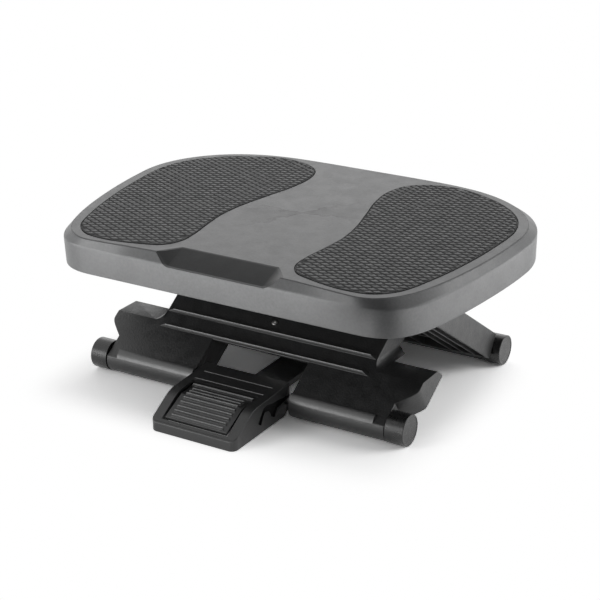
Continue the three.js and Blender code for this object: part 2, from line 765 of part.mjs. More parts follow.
function pedalHousing() {
  const rear = pedalRearPast;
  const outer = bar(pedalSection(0, pedalLift), -pedalHalfWidth, pedalHalfWidth)
    .intersect(plate(pedalPlan(pedalHalfWidth, pedalFrontPast, rear + overrun, pedalCorner),
      0, pedalRearHeight + overrun));
  const innerHalf = pedalHalfWidth - pedalWall;
  const inner = bar(pedalSection(pedalWall, -overrun), -innerHalf, innerHalf)
    .intersect(plate(
      pedalPlan(innerHalf, pedalFrontPast - pedalWall, rear + overrun, pedalCorner - pedalWall),
      -overrun, pedalRearHeight + overrun));
  const cheeks = bothSides((side) => {
    const xs = spanOf(side, innerHalf - cheekWidth, innerHalf + bury);
    return bar([
      [-cheekHalfRun, pedalLift + pedalWall],
      [pedalRearPast - clearance, pedalLift + pedalHeelHeight + pedalWall],
      [pedalRearPast - clearance, pedalTopAt(0) - pedalWall / 2],
      [-cheekHalfRun, pedalTopAt(0) - pedalWall / 2],
    ], xs[0], xs[1]);
  });
  const pinBosses = bothSides((side) => {
    const xs = spanOf(side, innerHalf - cheekWidth, innerHalf + bury);
    return rod(knuckleRadius, xs[0], xs[1], -treadPinPast, treadPinHeight);
  });
  const window = block(-windowHalfWidth, windowHalfWidth, -windowFrontPast, -windowRearPast,
    pedalWall, pedalRearHeight + overrun);
  const strutDoor = block(-strutHalfWidth - 2 * clearance, strutHalfWidth + 2 * clearance, -pedalRearPast,
    pedalRearPast + overrun, -overrun, strutBottom + strutThick + 3 * clearance);
  const crackPoints = [...crackUpper, ...crackLower].map(([past, height]) => [-past, height]).reverse();
  const cracks = bothSides((side) => {
    const xs = spanOf(side, innerHalf, pedalHalfWidth + overrun);
    return bar(crackPoints, xs[0], xs[1]);
  });
  const lines = pedalLineRuns.map((past) => block(-pedalLineHalf, pedalLineHalf,
    -past - pedalLineWidth / 2, -past + pedalLineWidth / 2,
    pedalTopAt(past) - pedalLineDepth, pedalRearHeight + overrun));
  const past = pedalHalfWidth + overrun;
  const footBore = rod(rodRadius + clearance, -past, past, 0, footRadius);
  const pinBore = rod(treadPinRadius + clearance, -innerHalf, innerHalf, -treadPinPast, treadPinHeight);
  const shell = cut(outer, [inner, window, strutDoor, ...cracks, ...lines]);
  return cut(joined([shell, ...cheeks, ...pinBosses]), [footBore, pinBore]);
}

// Tread: ribbed plate, hinge knuckles and the arm whose tooth holds the strut
function treadPlate() {
  const front = treadFrontPast;
  const rear = windowRearPast + clearance * 2;
  const kneeTop = pedalKneeHeight - treadDrop;
  const fall = (kneeTop - treadFrontHeight) / (treadFrontPast - pedalKneePast);
  const topAt = (past) => {
    const back = pedalTopAt(past) - treadDrop;
    return past < pedalKneePast ? back : kneeTop - (past - pedalKneePast) * fall;
  };
  const section = [
    [-front, topAt(front) - treadThick],
    [-pedalKneePast, topAt(pedalKneePast) - treadThick],
    [-rear, topAt(rear) - treadThick],
    [-rear, topAt(rear)],
    [-pedalKneePast, topAt(pedalKneePast)],
    [-front, topAt(front)],
  ];
  const half = treadHalfWidth;
  const slab = bar(section, -half, half);
  const slope = Math.atan(fall);
  const ribs = [];
  for (let i = 0; i < ribCount; i += 1) {
    const past = ribFirstPast - i * ribPitch * Math.cos(slope);
    const foot = topAt(past) - bury;
    ribs.push(block(-ribHalfLength, ribHalfLength, -past - ribWidth / 2, -past + ribWidth / 2,
      foot, topAt(past) + ribHeight));
  }
  ribs.push(block(-barHalfLength, barHalfLength, -barPast - barWidth / 2, -barPast + barWidth / 2,
    topAt(barPast) - bury, topAt(barPast) + ribHeight));
  const knuckles = bothSides((s) => {
    const xs = spanOf(s, knuckleInner, knuckleOuter);
    const barrel = rod(knuckleRadius, xs[0], xs[1], -treadPinPast, treadPinHeight);
    const strap = bar([
      [-rear - treadThick, topAt(rear) - treadThick],
      [-treadPinPast, treadPinHeight - knuckleRadius * 0.6],
      [-treadPinPast, treadPinHeight + knuckleRadius],
      [-rear - treadThick, topAt(rear)],
    ], xs[0], xs[1]);
    return barrel.add(strap);
  });
  const toothFoot = strutBottom + strutThick + toothGap;
  const armTop = treadPinHeight - knuckleRadius;
  const arm = bar([
    [-rear - treadThick, topAt(rear)],
    [-rear, topAt(rear) - treadThick / 2],
    [-pawlPast - pawlWidth / 2, armTop],
    [-pawlPast + pawlWidth / 2, armTop],
    [-pawlPast + pawlWidth / 2, toothFoot],
    [-pawlPast - pawlWidth / 2, toothFoot],
    [-pawlPast - pawlWidth / 2, armTop - pawlThick],
    [-rear - treadThick, topAt(rear) - treadThick],
  ], -pawlHalfWidth, pawlHalfWidth);
  const hub = rod(knuckleRadius, -pawlHalfWidth, pawlHalfWidth, -treadPinPast, treadPinHeight);
  const past = half + overrun;
  const bore = rod(treadPinRadius + clearance, -past, past, -treadPinPast, treadPinHeight);
  return cut(joined([slab, ...ribs, ...knuckles, arm, hub]), [bore]);
}

// Torsion spring round the tread's pin
function treadSpring() {
  const length = springTurns * springPitch;
  const start = pawlHalfWidth + 2 * clearance + springWire / 2;
  class Coil extends THREE.Curve {
    getPoint(t) {
      const angle = t * springTurns * 2 * Math.PI;
      return new THREE.Vector3(start + t * length,
        -treadPinPast + springRadius * Math.cos(angle), treadPinHeight + springRadius * Math.sin(angle));
    }
  }
  const wire = new THREE.Shape();
  wire.absarc(0, 0, springWire / 2, 0, 2 * Math.PI);
  const geometry = new THREE.ExtrudeGeometry(wire, {
    steps: springTurns * springSteps,
    extrudePath: new Coil(),
    curveSegments: springSides / 2,
    bevelEnabled: false,
  });
  return toSolid(geometry);
}

// Carrier, drawn about the tilt axis in Y with Z from the floor

function carrierFrame() {
  const railOuter = railInnerHalf + railWidth;
  const back = topReach + railEndPast;
  const front = -topReach - railNosePast;
  const low = topHeight - railHalfHeight;
  const high = topHeight + railHalfHeight;
  const rails = bothSides((side) => {
    const xs = spanOf(side, railInnerHalf, railOuter);
    const rail = bar([
      [front, low],
      [back - railHalfHeight, low],
      ...arc(back - railHalfHeight, topHeight, railHalfHeight, -Math.PI / 2, Math.PI / 2, 10).slice(1),
      [uprightHalfWidth + uprightRadius, high],
      ...arc(0, tiltAxisHeight, uprightRadius, 0, Math.PI, 12),
      [-uprightHalfWidth - uprightRadius, high],
      [front + railHalfHeight, high],
      [front, topHeight],
    ], xs[0], xs[1]);
    const slotHalf = slideBushRadius + clearance;
    const slot = bar([
      ...arc(-topReach, topHeight, slotHalf, -Math.PI / 2, Math.PI / 2, 10),
      ...arc(-topReach - slotTravel, topHeight, slotHalf, Math.PI / 2, 1.5 * Math.PI, 10),
    ], xs[0] - overrun, xs[1] + overrun);
    return rail.subtract(slot);
  });
  const deckTop = high - deckDrop;
  const deck = block(-railOuter + bury, railOuter - bury, deckFront, deckBack, deckTop - deckThick, deckTop);
  const crossbar = block(-railOuter + bury, railOuter - bury, front, front + crossbarWidth, low, topHeight);
  const past = railOuter + overrun;
  const hingeBore = rod(rodRadius + clearance, -past, past, topReach, topHeight);
  const axleBore = rod(tiltAxleRadius + clearance, -past, past, 0, tiltAxisHeight);
  return cut(joined([...rails, deck, crossbar]), [hingeBore, axleBore]);
}

function railClips(stem, inner, y, z, side) {
  const from = railInnerHalf + railWidth + clearance;
  return ring(`${stem}_${sideName(side)}`, clipRadius, inner + clearance,
    side * from, side * (from + clipThick), y, z, bareSteel);
}

function slideBush(side) {
  const from = railInnerHalf - clearance;
  const to = railInnerHalf + railWidth + clearance;
  const spans = [
    [from - bushFlange, from, slideBushRadius + bushFlange],
    [from - bury / 2, to, slideBushRadius],
  ];
  const body = joined(spans.map(([a, b, radius]) => {
    const xs = spanOf(side, a, b);
    return rod(radius, xs[0], xs[1], topRun, 0);
  }));
  const bore = rod(rodRadius + clearance, -to - overrun, to + overrun, topRun, 0);
  return piece(`slide_bush_${sideName(-side)}`, body.subtract(bore), whiteAcetal);
}

// Tray, drawn with its top face at Z zero and its centre on the Z axis

// Both outlines give rings of equal counts, so that they can be joined into walls
function trayRing(shares, inset, z) {
  const stretches = (shares.length - 1) / 3;
  const path = new THREE.CurvePath();
  for (let i = 0; i < stretches; i += 1) {
    const corners = shares.slice(3 * i, 3 * i + 4)
      .map(([sx, sy]) => new THREE.Vector2(sx * trayHalfWidth, sy * trayHalfDepth));
    path.add(new THREE.CubicBezierCurve(...corners));
  }
  const points = path.getSpacedPoints(outlineSteps);
  const left = points.slice(1, -1).map((p) => new THREE.Vector2(-p.x, p.y)).reverse();
  return offsetRing([...points, ...left], inset).map((p) => [p.x, p.y, z]);
}

// Moves a counter-clockwise outline inward along its normals
function offsetRing(outline, inset) {
  const count = outline.length;
  return outline.map((point, i) => {
    const before = outline[(i + count - 1) % count];
    const after = outline[(i + 1) % count];
    const along = after.clone().sub(before).normalize();
    return new THREE.Vector2(point.x - along.y * inset, point.y + along.x * inset);
  });
}

function padOutline(side, inset) {
  const corners = padOutlineShares.map(
    ([sx, sy]) => new THREE.Vector3(sx * trayHalfWidth, sy * trayHalfDepth, 0));
  const curve = new THREE.CatmullRomCurve3(corners, true, 'centripetal');
  const points = curve.getSpacedPoints(padOutlineShares.length * padSteps).slice(0, -1)
    .map((p) => new THREE.Vector2(p.x, p.y));
  const turned = THREE.ShapeUtils.isClockWise(points) ? points.reverse() : points;
  const ringPoints = offsetRing(turned, inset).map((p) => [side * p.x, p.y]);
  return side < 0 ? ringPoints.reverse() : ringPoints;
}

// Scoop in the front edge: sloping floor and two slanted ends
function scoop(grow) {
  const backY = -trayHalfDepth + scoopDepth + grow;
  const fall = scoopDrop / scoopDepth;
  const out = -trayHalfDepth - overrun;
  const depthAt = (y) => (y - backY) * fall - grow;
  const mouthY = -trayHalfDepth + scoopMouthDepth;
  const slant = (scoopMouthHalf - scoopHalfWidth) / (backY - mouthY);
  const corners = [];
  for (const side of [-1, 1]) {
    corners.push([side * (scoopHalfWidth + grow), backY, depthAt(backY)]);
    corners.push([side * (scoopHalfWidth + grow), out, depthAt(out)]);
    corners.push([side * (scoopHalfWidth + grow), backY + overrun / fall, overrun]);
    corners.push([side * (scoopHalfWidth + grow + slant * (backY + overrun / fall - out)), out, overrun]);
  }
  return toSolid(new ConvexGeometry(corners.map(([x, y, z]) => new THREE.Vector3(x, y, z))));
}

function trayShell() {
  const outer = loft([
    trayRing(wallOutlineShares, skirtDraft + hemRound, -skirtHeight),
    trayRing(wallOutlineShares, skirtDraft, -skirtHeight + hemRound),
    trayRing(wallOutlineShares, edgeRound / 2, -bevelDrop - edgeRound),
    trayRing(wallOutlineShares, edgeRound / 2, -bevelDrop + edgeRound / 2),
    trayRing(topOutlineShares, -edgeRound, -edgeRound),
    trayRing(topOutlineShares, 0, 0),
  ]);
  const inner = loft([
    trayRing(wallOutlineShares, skirtDraft + trayWall, -skirtHeight - overrun),
    trayRing(wallOutlineShares, trayWall, -bevelDrop - trayWall / 2),
    trayRing(topOutlineShares, trayWall, -trayTopWall),
  ]);
  const cavity = inner.subtract(scoop(trayWall));
  const ribs = trayRibHalfs.flatMap((half) => bothSides((side) => block(
    side * half - trayRibWall / 2, side * half + trayRibWall / 2, -trayRibHalfRun, trayRibHalfRun,
    -trayTopWall - trayRibDepth, -trayTopWall + bury / 2)));
  const recesses = bothSides((side) => plate(padOutline(side, 0), -padRecess, overrun));
  const bracketBosses = bothSides((side) => {
    const x = side * (railInnerHalf - washerThick - 2 * clearance - lugWidth - bracketInnerPast / 2);
    return [-1, 1].map((end) => post(screwHeadRadius + bossWall, x, end * bracketScrewRun - trayForward,
      -trayTopWall - clearance * 2, -trayTopWall + bury / 2));
  }).flat();
  const screwHoles = bothSides((side) => {
    const x = side * (railInnerHalf - washerThick - 2 * clearance - lugWidth - bracketInnerPast / 2);
    return [-1, 1].map((end) => post(screwRadius + clearance, x, end * bracketScrewRun - trayForward,
      -trayTopWall - overrun, -trayTopWall + screwTipSkin));
  }).flat();
  return cut(joined([outer.subtract(cavity), ...ribs, ...bracketBosses]),
    [scoop(0), ...recesses, ...screwHoles]);
}

function footPad(side) {
  const low = -padRecess + clearance;
  const rings = [
    padOutline(side, padGroove).map(([x, y]) => [x, y, low]),
    padOutline(side, padGroove).map(([x, y]) => [x, y, padProud - padEdge]),
    padOutline(side, padGroove + padEdge).map(([x, y]) => [x, y, padProud]),
  ];
  return loft(rings);
}

function trimPlate() {
  const backY = -trayHalfDepth + scoopDepth;
  const fall = Math.atan2(scoopDrop, scoopDepth);
  const length = (scoopDepth - 2 * trimMargin) / Math.cos(fall);
  const half = scoopHalfWidth - trimMargin;
  const body = block(-half, half, -length, -trimMargin - trimThick, clearance, clearance + trimThick);
  const geometry = toGeometry(body);
  geometry.rotateX(fall);
  geometry.translate(0, backY, 0);
  return geometry;
}

// Tilt bracket: screwed under the tray, its lug hangs round the axle
function tiltBracket(side) {
  const lugOuter = railInnerHalf - washerThick - 2 * clearance;
  const lugInner = lugOuter - lugWidth;
  const ceiling = trayRise - trayTopWall - 3 * clearance;
  const lugXs = spanOf(side, lugInner, lugOuter);
  const plateXs = spanOf(side, lugInner - bracketInnerPast, lugOuter);
  const lug = bar([
    ...arc(0, 0, lugRadius, Math.PI, 2 * Math.PI, 12),
    [lugRadius + bracketPlate, ceiling],
    [-lugRadius - bracketPlate, ceiling],
  ], lugXs[0], lugXs[1]);
  const base = block(plateXs[0], plateXs[1], -bracketHalfRun, bracketHalfRun,
    ceiling - bracketPlate, ceiling);
  const x = side * (lugInner - bracketInnerPast / 2);
  const holes = [-1, 1].map((end) => post(screwRadius + clearance, x, end * bracketScrewRun,
    ceiling - bracketPlate - overrun, ceiling + overrun));
  const bore = rod(tiltAxleRadius + clearance, lugXs[0] - overrun, lugXs[1] + overrun, 0, 0);
  return cut(lug.add(base), [bore, ...holes]);
}

function bracketScrew(side, end) {
  const lugInner = railInnerHalf - washerThick - 2 * clearance - lugWidth;
  const x = side * (lugInner - bracketInnerPast / 2);
  const y = end * bracketScrewRun;
  const seat = trayRise - trayTopWall - 3 * clearance - bracketPlate - clearance;
  const head = post(screwHeadRadius, x, y, seat - screwHeadHeight, seat);
  const shank = post(screwRadius, x, y, seat - bury / 2, seat + screwBite - clearance);
  const name = `bracket_screw_${sideName(side)}_${end < 0 ? 'front' : 'back'}`;
  return piece(name, head.add(shank), bareSteel);
}

// The whole footrest

function buildCarrier() {
  const rodEnd = railInnerHalf + railWidth + clearance + clipThick + clipStandOff;
  return groupOf([
    piece('carrier_frame', carrierFrame(), blackPlastic),
    piece('tilt_axle', rod(tiltAxleRadius, -rodEnd, rodEnd, 0, tiltAxisHeight), bareSteel),
    piece('height_hinge_rod', rod(rodRadius, -rodEnd, rodEnd, topReach, topHeight), bareSteel),
    ...bothSides((side) => railClips('tilt_axle_clip', tiltAxleRadius, 0, tiltAxisHeight, side)),
    ...bothSides((side) => railClips('height_hinge_clip', rodRadius, topReach, topHeight, side)),
  ]);
}

function buildFrontLeg() {
  const leg = groupOf([
    piece('front_leg', frontLegShell(), blackPlastic),
    ...bothSides((side) => endCap(`front_cap_${sideName(side)}`, side)),
    piece('foot_axle', rod(rodRadius, -footAxleHalf, footAxleHalf, 0, 0), bareSteel),
    piece('strut_guide', strutGuide(), blackPlastic),
    piece('leg_screw', legScrew(), bareSteel),
    ...bothSides(crossingPin).flat(),
  ], 0, -footReach, footRadius);
  leg.rotation.x = legAngle;
  return leg;
}

function buildRearLeg() {
  const rodEnd = armInnerHalf + skin + clearance + clipThick + clipStandOff;
  const clipInner = armInnerHalf + skin + clearance;
  const leg = groupOf([
    piece('rear_leg', rearLegFrame(), blackPlastic),
    ...bothSides((side) => endCap(`rear_cap_${sideName(-side)}`, side)),
    piece('slide_rod', rod(rodRadius, -rodEnd, rodEnd, topRun, 0), bareSteel),
    piece('strut_pin', rod(rodRadius, -strutPinHalf, strutPinHalf, 0, 0), bareSteel),
    ...bothSides(slideBush),
    ...bothSides((side) => ring(`slide_rod_clip_${sideName(-side)}`, clipRadius, rodRadius + clearance,
      side * clipInner, side * (clipInner + clipThick), topRun, 0, bareSteel)),
  ]);
  leg.rotation.x = legAngle;
  const turned = groupOf([leg], 0, footReach, footRadius);
  turned.rotation.z = Math.PI;
  return turned;
}

function buildPedal() {
  const pinEnd = pedalHalfWidth - pedalWall - 2 * clearance;
  return groupOf([
    piece('pedal_housing', pedalHousing(), pedalPlastic),
    piece('pedal_tread', treadPlate(), pedalPlastic),
    piece('tread_pin', rod(treadPinRadius, -pinEnd, pinEnd, -treadPinPast, treadPinHeight), bareSteel),
    piece('tread_spring', treadSpring(), bareSteel),
  ], 0, -footReach, 0);
}

function buildTray() {
  const lugOuter = railInnerHalf - washerThick - 2 * clearance;
  const shell = groupOf([
    piece('tray_shell', trayShell(), greyShell),
    piece('foot_pad_left', footPad(-1), darkRubber),
    piece('foot_pad_right', footPad(1), darkRubber),
    piece('front_trim', trimPlate(), darkTrim),
  ], 0, trayForward, trayRise);
  const tray = groupOf([
    shell,
    ...bothSides((side) => piece(`tilt_bracket_${sideName(side)}`, tiltBracket(side), blackPlastic)),
    ...bothSides((side) => [-1, 1].map((end) => bracketScrew(side, end))).flat(),
    ...bothSides((side) => ring(`friction_washer_${sideName(side)}`, washerRadius, tiltAxleRadius + clearance,
      side * (lugOuter + clearance), side * (railInnerHalf - clearance), 0, 0, whiteAcetal)),
  ], 0, 0, tiltAxisHeight);
  tray.rotation.x = restTilt;
  return tray;
}

const strut = groupOf([piece('height_strut', heightStrut(), blackPlastic)], 0, footReach, footRadius);
const footrest = groupOf([buildCarrier(), buildFrontLeg(), buildRearLeg(), buildPedal(), strut, buildTray()]);

// The origin is the middle of the footprint, on the floor
footrest.updateMatrixWorld(true);
const extent = new THREE.Box3().setFromObject(footrest, true);
const middle = extent.getCenter(new THREE.Vector3());
footrest.position.set(-middle.x, -middle.y, -extent.min.z);

export default footrest;
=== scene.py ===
import math

import bmesh
import bpy
from mathutils import Matrix, Vector


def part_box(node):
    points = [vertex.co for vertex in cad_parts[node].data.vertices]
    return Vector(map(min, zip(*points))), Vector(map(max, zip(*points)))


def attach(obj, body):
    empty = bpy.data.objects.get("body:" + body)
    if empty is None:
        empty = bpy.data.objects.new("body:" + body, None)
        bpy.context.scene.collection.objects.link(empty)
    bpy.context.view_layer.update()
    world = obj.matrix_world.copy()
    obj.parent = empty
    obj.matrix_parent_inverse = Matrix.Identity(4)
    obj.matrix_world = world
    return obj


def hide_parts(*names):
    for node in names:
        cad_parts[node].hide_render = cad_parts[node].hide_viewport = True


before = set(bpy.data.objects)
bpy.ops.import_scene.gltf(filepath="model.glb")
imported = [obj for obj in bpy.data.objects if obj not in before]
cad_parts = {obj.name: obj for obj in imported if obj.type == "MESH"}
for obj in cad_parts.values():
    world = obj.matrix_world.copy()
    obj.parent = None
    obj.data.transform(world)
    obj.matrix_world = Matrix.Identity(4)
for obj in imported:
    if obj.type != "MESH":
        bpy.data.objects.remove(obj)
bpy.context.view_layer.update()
mm = 0.001
print("footrest: frame loaded,", len(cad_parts), "nodes")


def linear(value):
    share = value / 255
    return share / 12.92 if share <= 0.04045 else ((share + 0.055) / 1.055) ** 2.4


def paint(grey, warmth=0.0):
    # a near-neutral colour from its grey on the 0 to 255 scale, warmth shifts red up and blue down
    return (linear(grey + warmth), linear(grey), linear(grey - warmth), 1)


def axisOf(node):
    # middle of a turned node in Y and Z, its ends in X and its radius
    low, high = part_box(node)
    return (low.y + high.y) / 2, (low.z + high.z) / 2, low.x, high.x, (high.z - low.z) / 2


def softened(points, rounds, steps=4):
    # a polyline with its inner corners turned into short curves; rounds are tangent lengths
    out = [points[0]]
    for i in range(1, len(points) - 1):
        a, b, c = points[i - 1], points[i], points[i + 1]
        reach = rounds[i] if isinstance(rounds, (list, tuple)) else rounds
        reach = min(reach, (a - b).length * 0.48, (c - b).length * 0.48)
        if reach <= 0:
            out.append(b)
            continue
        start = b + (a - b).normalized() * reach
        end = b + (c - b).normalized() * reach
        for k in range(steps + 1):
            t = k / steps
            out.append(start * (1 - t) ** 2 + b * 2 * t * (1 - t) + end * t ** 2)
    out.append(points[-1])
    return out


def newPiece(name, verts, faces):
    mesh = bpy.data.meshes.new(name)
    mesh.from_pydata([tuple(v) for v in verts], [], faces)
    mesh.validate()
    mesh.update()
    piece = bpy.data.objects.new(name, mesh)
    bpy.context.scene.collection.objects.link(piece)
    return piece


def faceOutward(piece):
    form = bmesh.new()
    form.from_mesh(piece.data)
    bmesh.ops.remove_doubles(form, verts=form.verts, dist=2e-6)
    bmesh.ops.recalc_face_normals(form, faces=form.faces)
    form.to_mesh(piece.data)
    form.free()


def applied(piece):
    # bakes the modifiers into the mesh
    bpy.context.view_layer.update()
    graph = bpy.context.evaluated_depsgraph_get()
    evaluated = piece.evaluated_get(graph)
    mesh = bpy.data.meshes.new_from_object(evaluated, preserve_all_data_layers=True, depsgraph=graph)
    piece.modifiers.clear()
    old = piece.data
    piece.data = mesh
    mesh.name = piece.name
    if old.users == 0:
        bpy.data.meshes.remove(old)
    return piece


def smoothed(piece, degrees=32):
    piece.data.shade_smooth()
    piece.data.set_sharp_from_angle(angle=math.radians(degrees))
    weight = piece.modifiers.new("faceWeight", "WEIGHTED_NORMAL")
    weight.keep_sharp = True
    weight.weight = 80
    return applied(piece)


def edgeSoftened(piece, width, steps=2, degrees=34):
    edge = piece.modifiers.new("edgeRound", "BEVEL")
    edge.width = width
    edge.segments = steps
    edge.limit_method = "ANGLE"
    edge.angle_limit = math.radians(degrees)
    edge.use_clamp_overlap = False
    edge.miter_outer = "MITER_ARC"
    edge.loop_slide = True
    return applied(piece)


def combined(piece, other, operation):
    step = piece.modifiers.new("join", "BOOLEAN")
    step.operation = operation
    step.solver = "EXACT"
    step.object = other
    applied(piece)
    bpy.data.objects.remove(other)
    return piece


def joinedUp(name, pieces):
    whole = pieces[0]
    for other in pieces[1:]:
        combined(whole, other, "UNION")
    whole.name = name
    return smoothed(whole, 60)


def darkCut(piece, other):
    # cuts other away and gives the new walls the second slot, the near-black gapShade: painted shade on the walls
    # of a deep cut
    for form in (piece, other):
        while len(form.data.materials) < 2:
            form.data.materials.append(gapShade)
    for face in other.data.polygons:
        face.material_index = 1
    return combined(piece, other, "DIFFERENCE")


def fitted(piece, body, finish, slotName, *nodes):
    slots = [face.material_index for face in piece.data.polygons]
    piece.data.materials.clear()
    piece.data.materials.append(finish)
    if any(slots):
        piece.data.materials.append(gapShade)
        piece.data.polygons.foreach_set("material_index", slots)
    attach(piece, body)
    if nodes:
        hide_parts(*nodes)
    return piece


def lofted(rings, closedEnds=True):
    # skin through rings of equal counts; the ends are single faces
    count = len(rings[0])
    verts = [p for ring in rings for p in ring]
    faces = []
    for r in range(len(rings) - 1):
        for i in range(count):
            j = (i + 1) % count
            faces.append((r * count + i, r * count + j, (r + 1) * count + j, (r + 1) * count + i))
    if closedEnds:
        faces.append(tuple(range(count - 1, -1, -1)))
        faces.append(tuple((len(rings) - 1) * count + i for i in range(count)))
    return verts, faces


def turned(name, profile, y, z, sides=56, closedLoop=False):
    # revolves (x, radius) pairs about the line through (y, z) along X
    verts, faces, rows = [], [], []
    for x, radius in profile:
        if radius < 1e-7:
            rows.append([len(verts)])
            verts.append(Vector((x, y, z)))
            continue
        rows.append(list(range(len(verts), len(verts) + sides)))
        for k in range(sides):
            angle = 2 * math.pi * k / sides
            verts.append(Vector((x, y + radius * math.cos(angle), z + radius * math.sin(angle))))
    pairs = list(zip(rows, rows[1:])) + ([(rows[-1], rows[0])] if closedLoop else [])
    for a, b in pairs:
        for k in range(sides):
            n = (k + 1) % sides
            if len(a) == 1 and len(b) == 1:
                continue
            if len(a) == 1:
                faces.append((a[0], b[k], b[n]))
            elif len(b) == 1:
                faces.append((a[k], a[n], b[0]))
            else:
                faces.append((a[k], a[n], b[n], b[k]))
    piece = newPiece(name, verts, faces)
    faceOutward(piece)
    return piece


def softProfile(points, rounds, steps=3):
    line = softened([Vector((x, r, 0)) for x, r in points], rounds, steps)
    return [(p.x, p.y) for p in line]


def blockPiece(name, low, high, place=None):
    xs, ys, zs = zip(low, high)
    verts = [Vector((x, y, z)) for z in zs for y in ys for x in xs]
    if place:
        verts = [place @ v for v in verts]
    faces = [(0, 2, 3, 1), (4, 5, 7, 6), (0, 1, 5, 4), (2, 6, 7, 3), (0, 4, 6, 2), (1, 3, 7, 5)]
    piece = newPiece(name, verts, faces)
    faceOutward(piece)
    return piece


def hullPiece(name, points):
    form = bmesh.new()
    for p in points:
        form.verts.new(p)
    made = bmesh.ops.convex_hull(form, input=form.verts)
    inside = [g for g in made["geom_interior"] if isinstance(g, bmesh.types.BMVert)]
    bmesh.ops.delete(form, geom=inside, context="VERTS")
    bmesh.ops.recalc_face_normals(form, faces=form.faces)
    mesh = bpy.data.meshes.new(name)
    form.to_mesh(mesh)
    form.free()
    piece = bpy.data.objects.new(name, mesh)
    bpy.context.scene.collection.objects.link(piece)
    return piece


class Wiring:
    # a material's node tree with its shader and shortcuts for joining nodes
    def __init__(self, name):
        self.material = bpy.data.materials.new(name)
        self.material.use_nodes = True
        self.tree = self.material.node_tree
        self.tree.nodes.clear()
        self.shader = self.add("ShaderNodeBsdfPrincipled")
        self.output = self.add("ShaderNodeOutputMaterial")
        self.join(self.shader, 0, self.output, 0)
        self.place = self.add("ShaderNodeTexCoord")

    def add(self, kind, **values):
        node = self.tree.nodes.new(kind)
        for key, value in values.items():
            if hasattr(node, key):
                setattr(node, key, value)
            else:
                node.inputs[key.replace("_", " ")].default_value = value
        return node

    def join(self, a, outName, b, inName):
        self.tree.links.new(a.outputs[outName], b.inputs[inName])

    def noise(self, size, detail=2.0, roughness=0.5, stretch=None):
        node = self.add("ShaderNodeTexNoise", Scale=1 / size, Detail=detail, Roughness=roughness)
        if stretch:
            mapping = self.add("ShaderNodeMapping")
            mapping.inputs["Scale"].default_value = stretch
            self.join(self.place, "Object", mapping, "Vector")
            self.join(mapping, "Vector", node, "Vector")
        else:
            self.join(self.place, "Object", node, "Vector")
        return node

    def ramp(self, source, outName, low, high, fromLow=0.0, fromHigh=1.0):
        node = self.add("ShaderNodeMapRange")
        for key, value in (("From Min", fromLow), ("From Max", fromHigh), ("To Min", low), ("To Max", high)):
            node.inputs[key].default_value = value
        self.join(source, outName, node, "Value")
        return node

    def blend(self, share, outName, first, second):
        node = self.add("ShaderNodeMix", data_type="RGBA")
        node.inputs[6].default_value = first
        node.inputs[7].default_value = second
        self.join(share, outName, node, 0)
        return node

    def bump(self, source, outName, height, strength=1.0, onto=None):
        node = self.add("ShaderNodeBump")
        node.inputs["Strength"].default_value = strength
        node.inputs["Distance"].default_value = height
        self.join(source, outName, node, "Height")
        if onto:
            self.join(onto, "Normal", node, "Normal")
        return node


def mouldedFinish(name, look):
    # injection-moulded plastic or rubber: cloudy colour, spark-eroded grain and an uneven gloss
    w = Wiring(name)
    cloud = w.noise(look["cloud"], detail=3, roughness=0.6)
    fleck = w.noise(look["fleck"], detail=2, roughness=0.6)
    mottle = w.add("ShaderNodeMath", operation="ADD")
    w.join(cloud, 0, mottle, 0)
    w.join(fleck, 0, mottle, 1)
    tone = w.ramp(mottle, 0, 0, 1, 0.72, 1.28)
    colour = w.blend(tone, 0, paint(look["dark"], look["warmth"]), paint(look["light"], look["warmth"]))
    w.join(colour, 2, w.shader, "Base Color")
    grain = w.noise(look["grain"], detail=2, roughness=0.65)
    pebble = w.add("ShaderNodeTexVoronoi", feature="SMOOTH_F1", Scale=1 / look["pebble"])
    w.join(w.place, "Object", pebble, "Vector")
    fine = w.bump(grain, 0, look["grainHeight"])
    coarse = w.bump(pebble, "Distance", look["pebbleHeight"], onto=fine)
    w.join(coarse, "Normal", w.shader, "Normal")
    patch = w.noise(look["cloud"] * 0.6, detail=4, roughness=0.7)
    gloss = w.ramp(patch, 0, look["smooth"], look["rough"], 0.35, 0.65)
    w.join(gloss, 0, w.shader, "Roughness")
    w.shader.inputs["IOR"].default_value = look["ior"]
    w.shader.inputs["Specular IOR Level"].default_value = look["spec"]
    return w


# the fanReflection keys set a painted reflection: two darker fans with dark rims round the moulding gate
greyShellLook = {
    "dark": 79, "light": 90, "warmth": -0.6, "cloud": 0.03, "fleck": 0.0026, "grain": 0.0011,
    "grainHeight": 0.00006, "pebble": 0.0016, "pebbleHeight": 0.00005, "smooth": 0.34, "rough": 0.42,
    "ior": 1.5, "spec": 0.5, "gateReach": 0.085, "gateDark": 34, "gateTurn": 31.4, "fanEdge": 0.45,
    "fanShare": 0.6, "rimShare": 1.0,
}


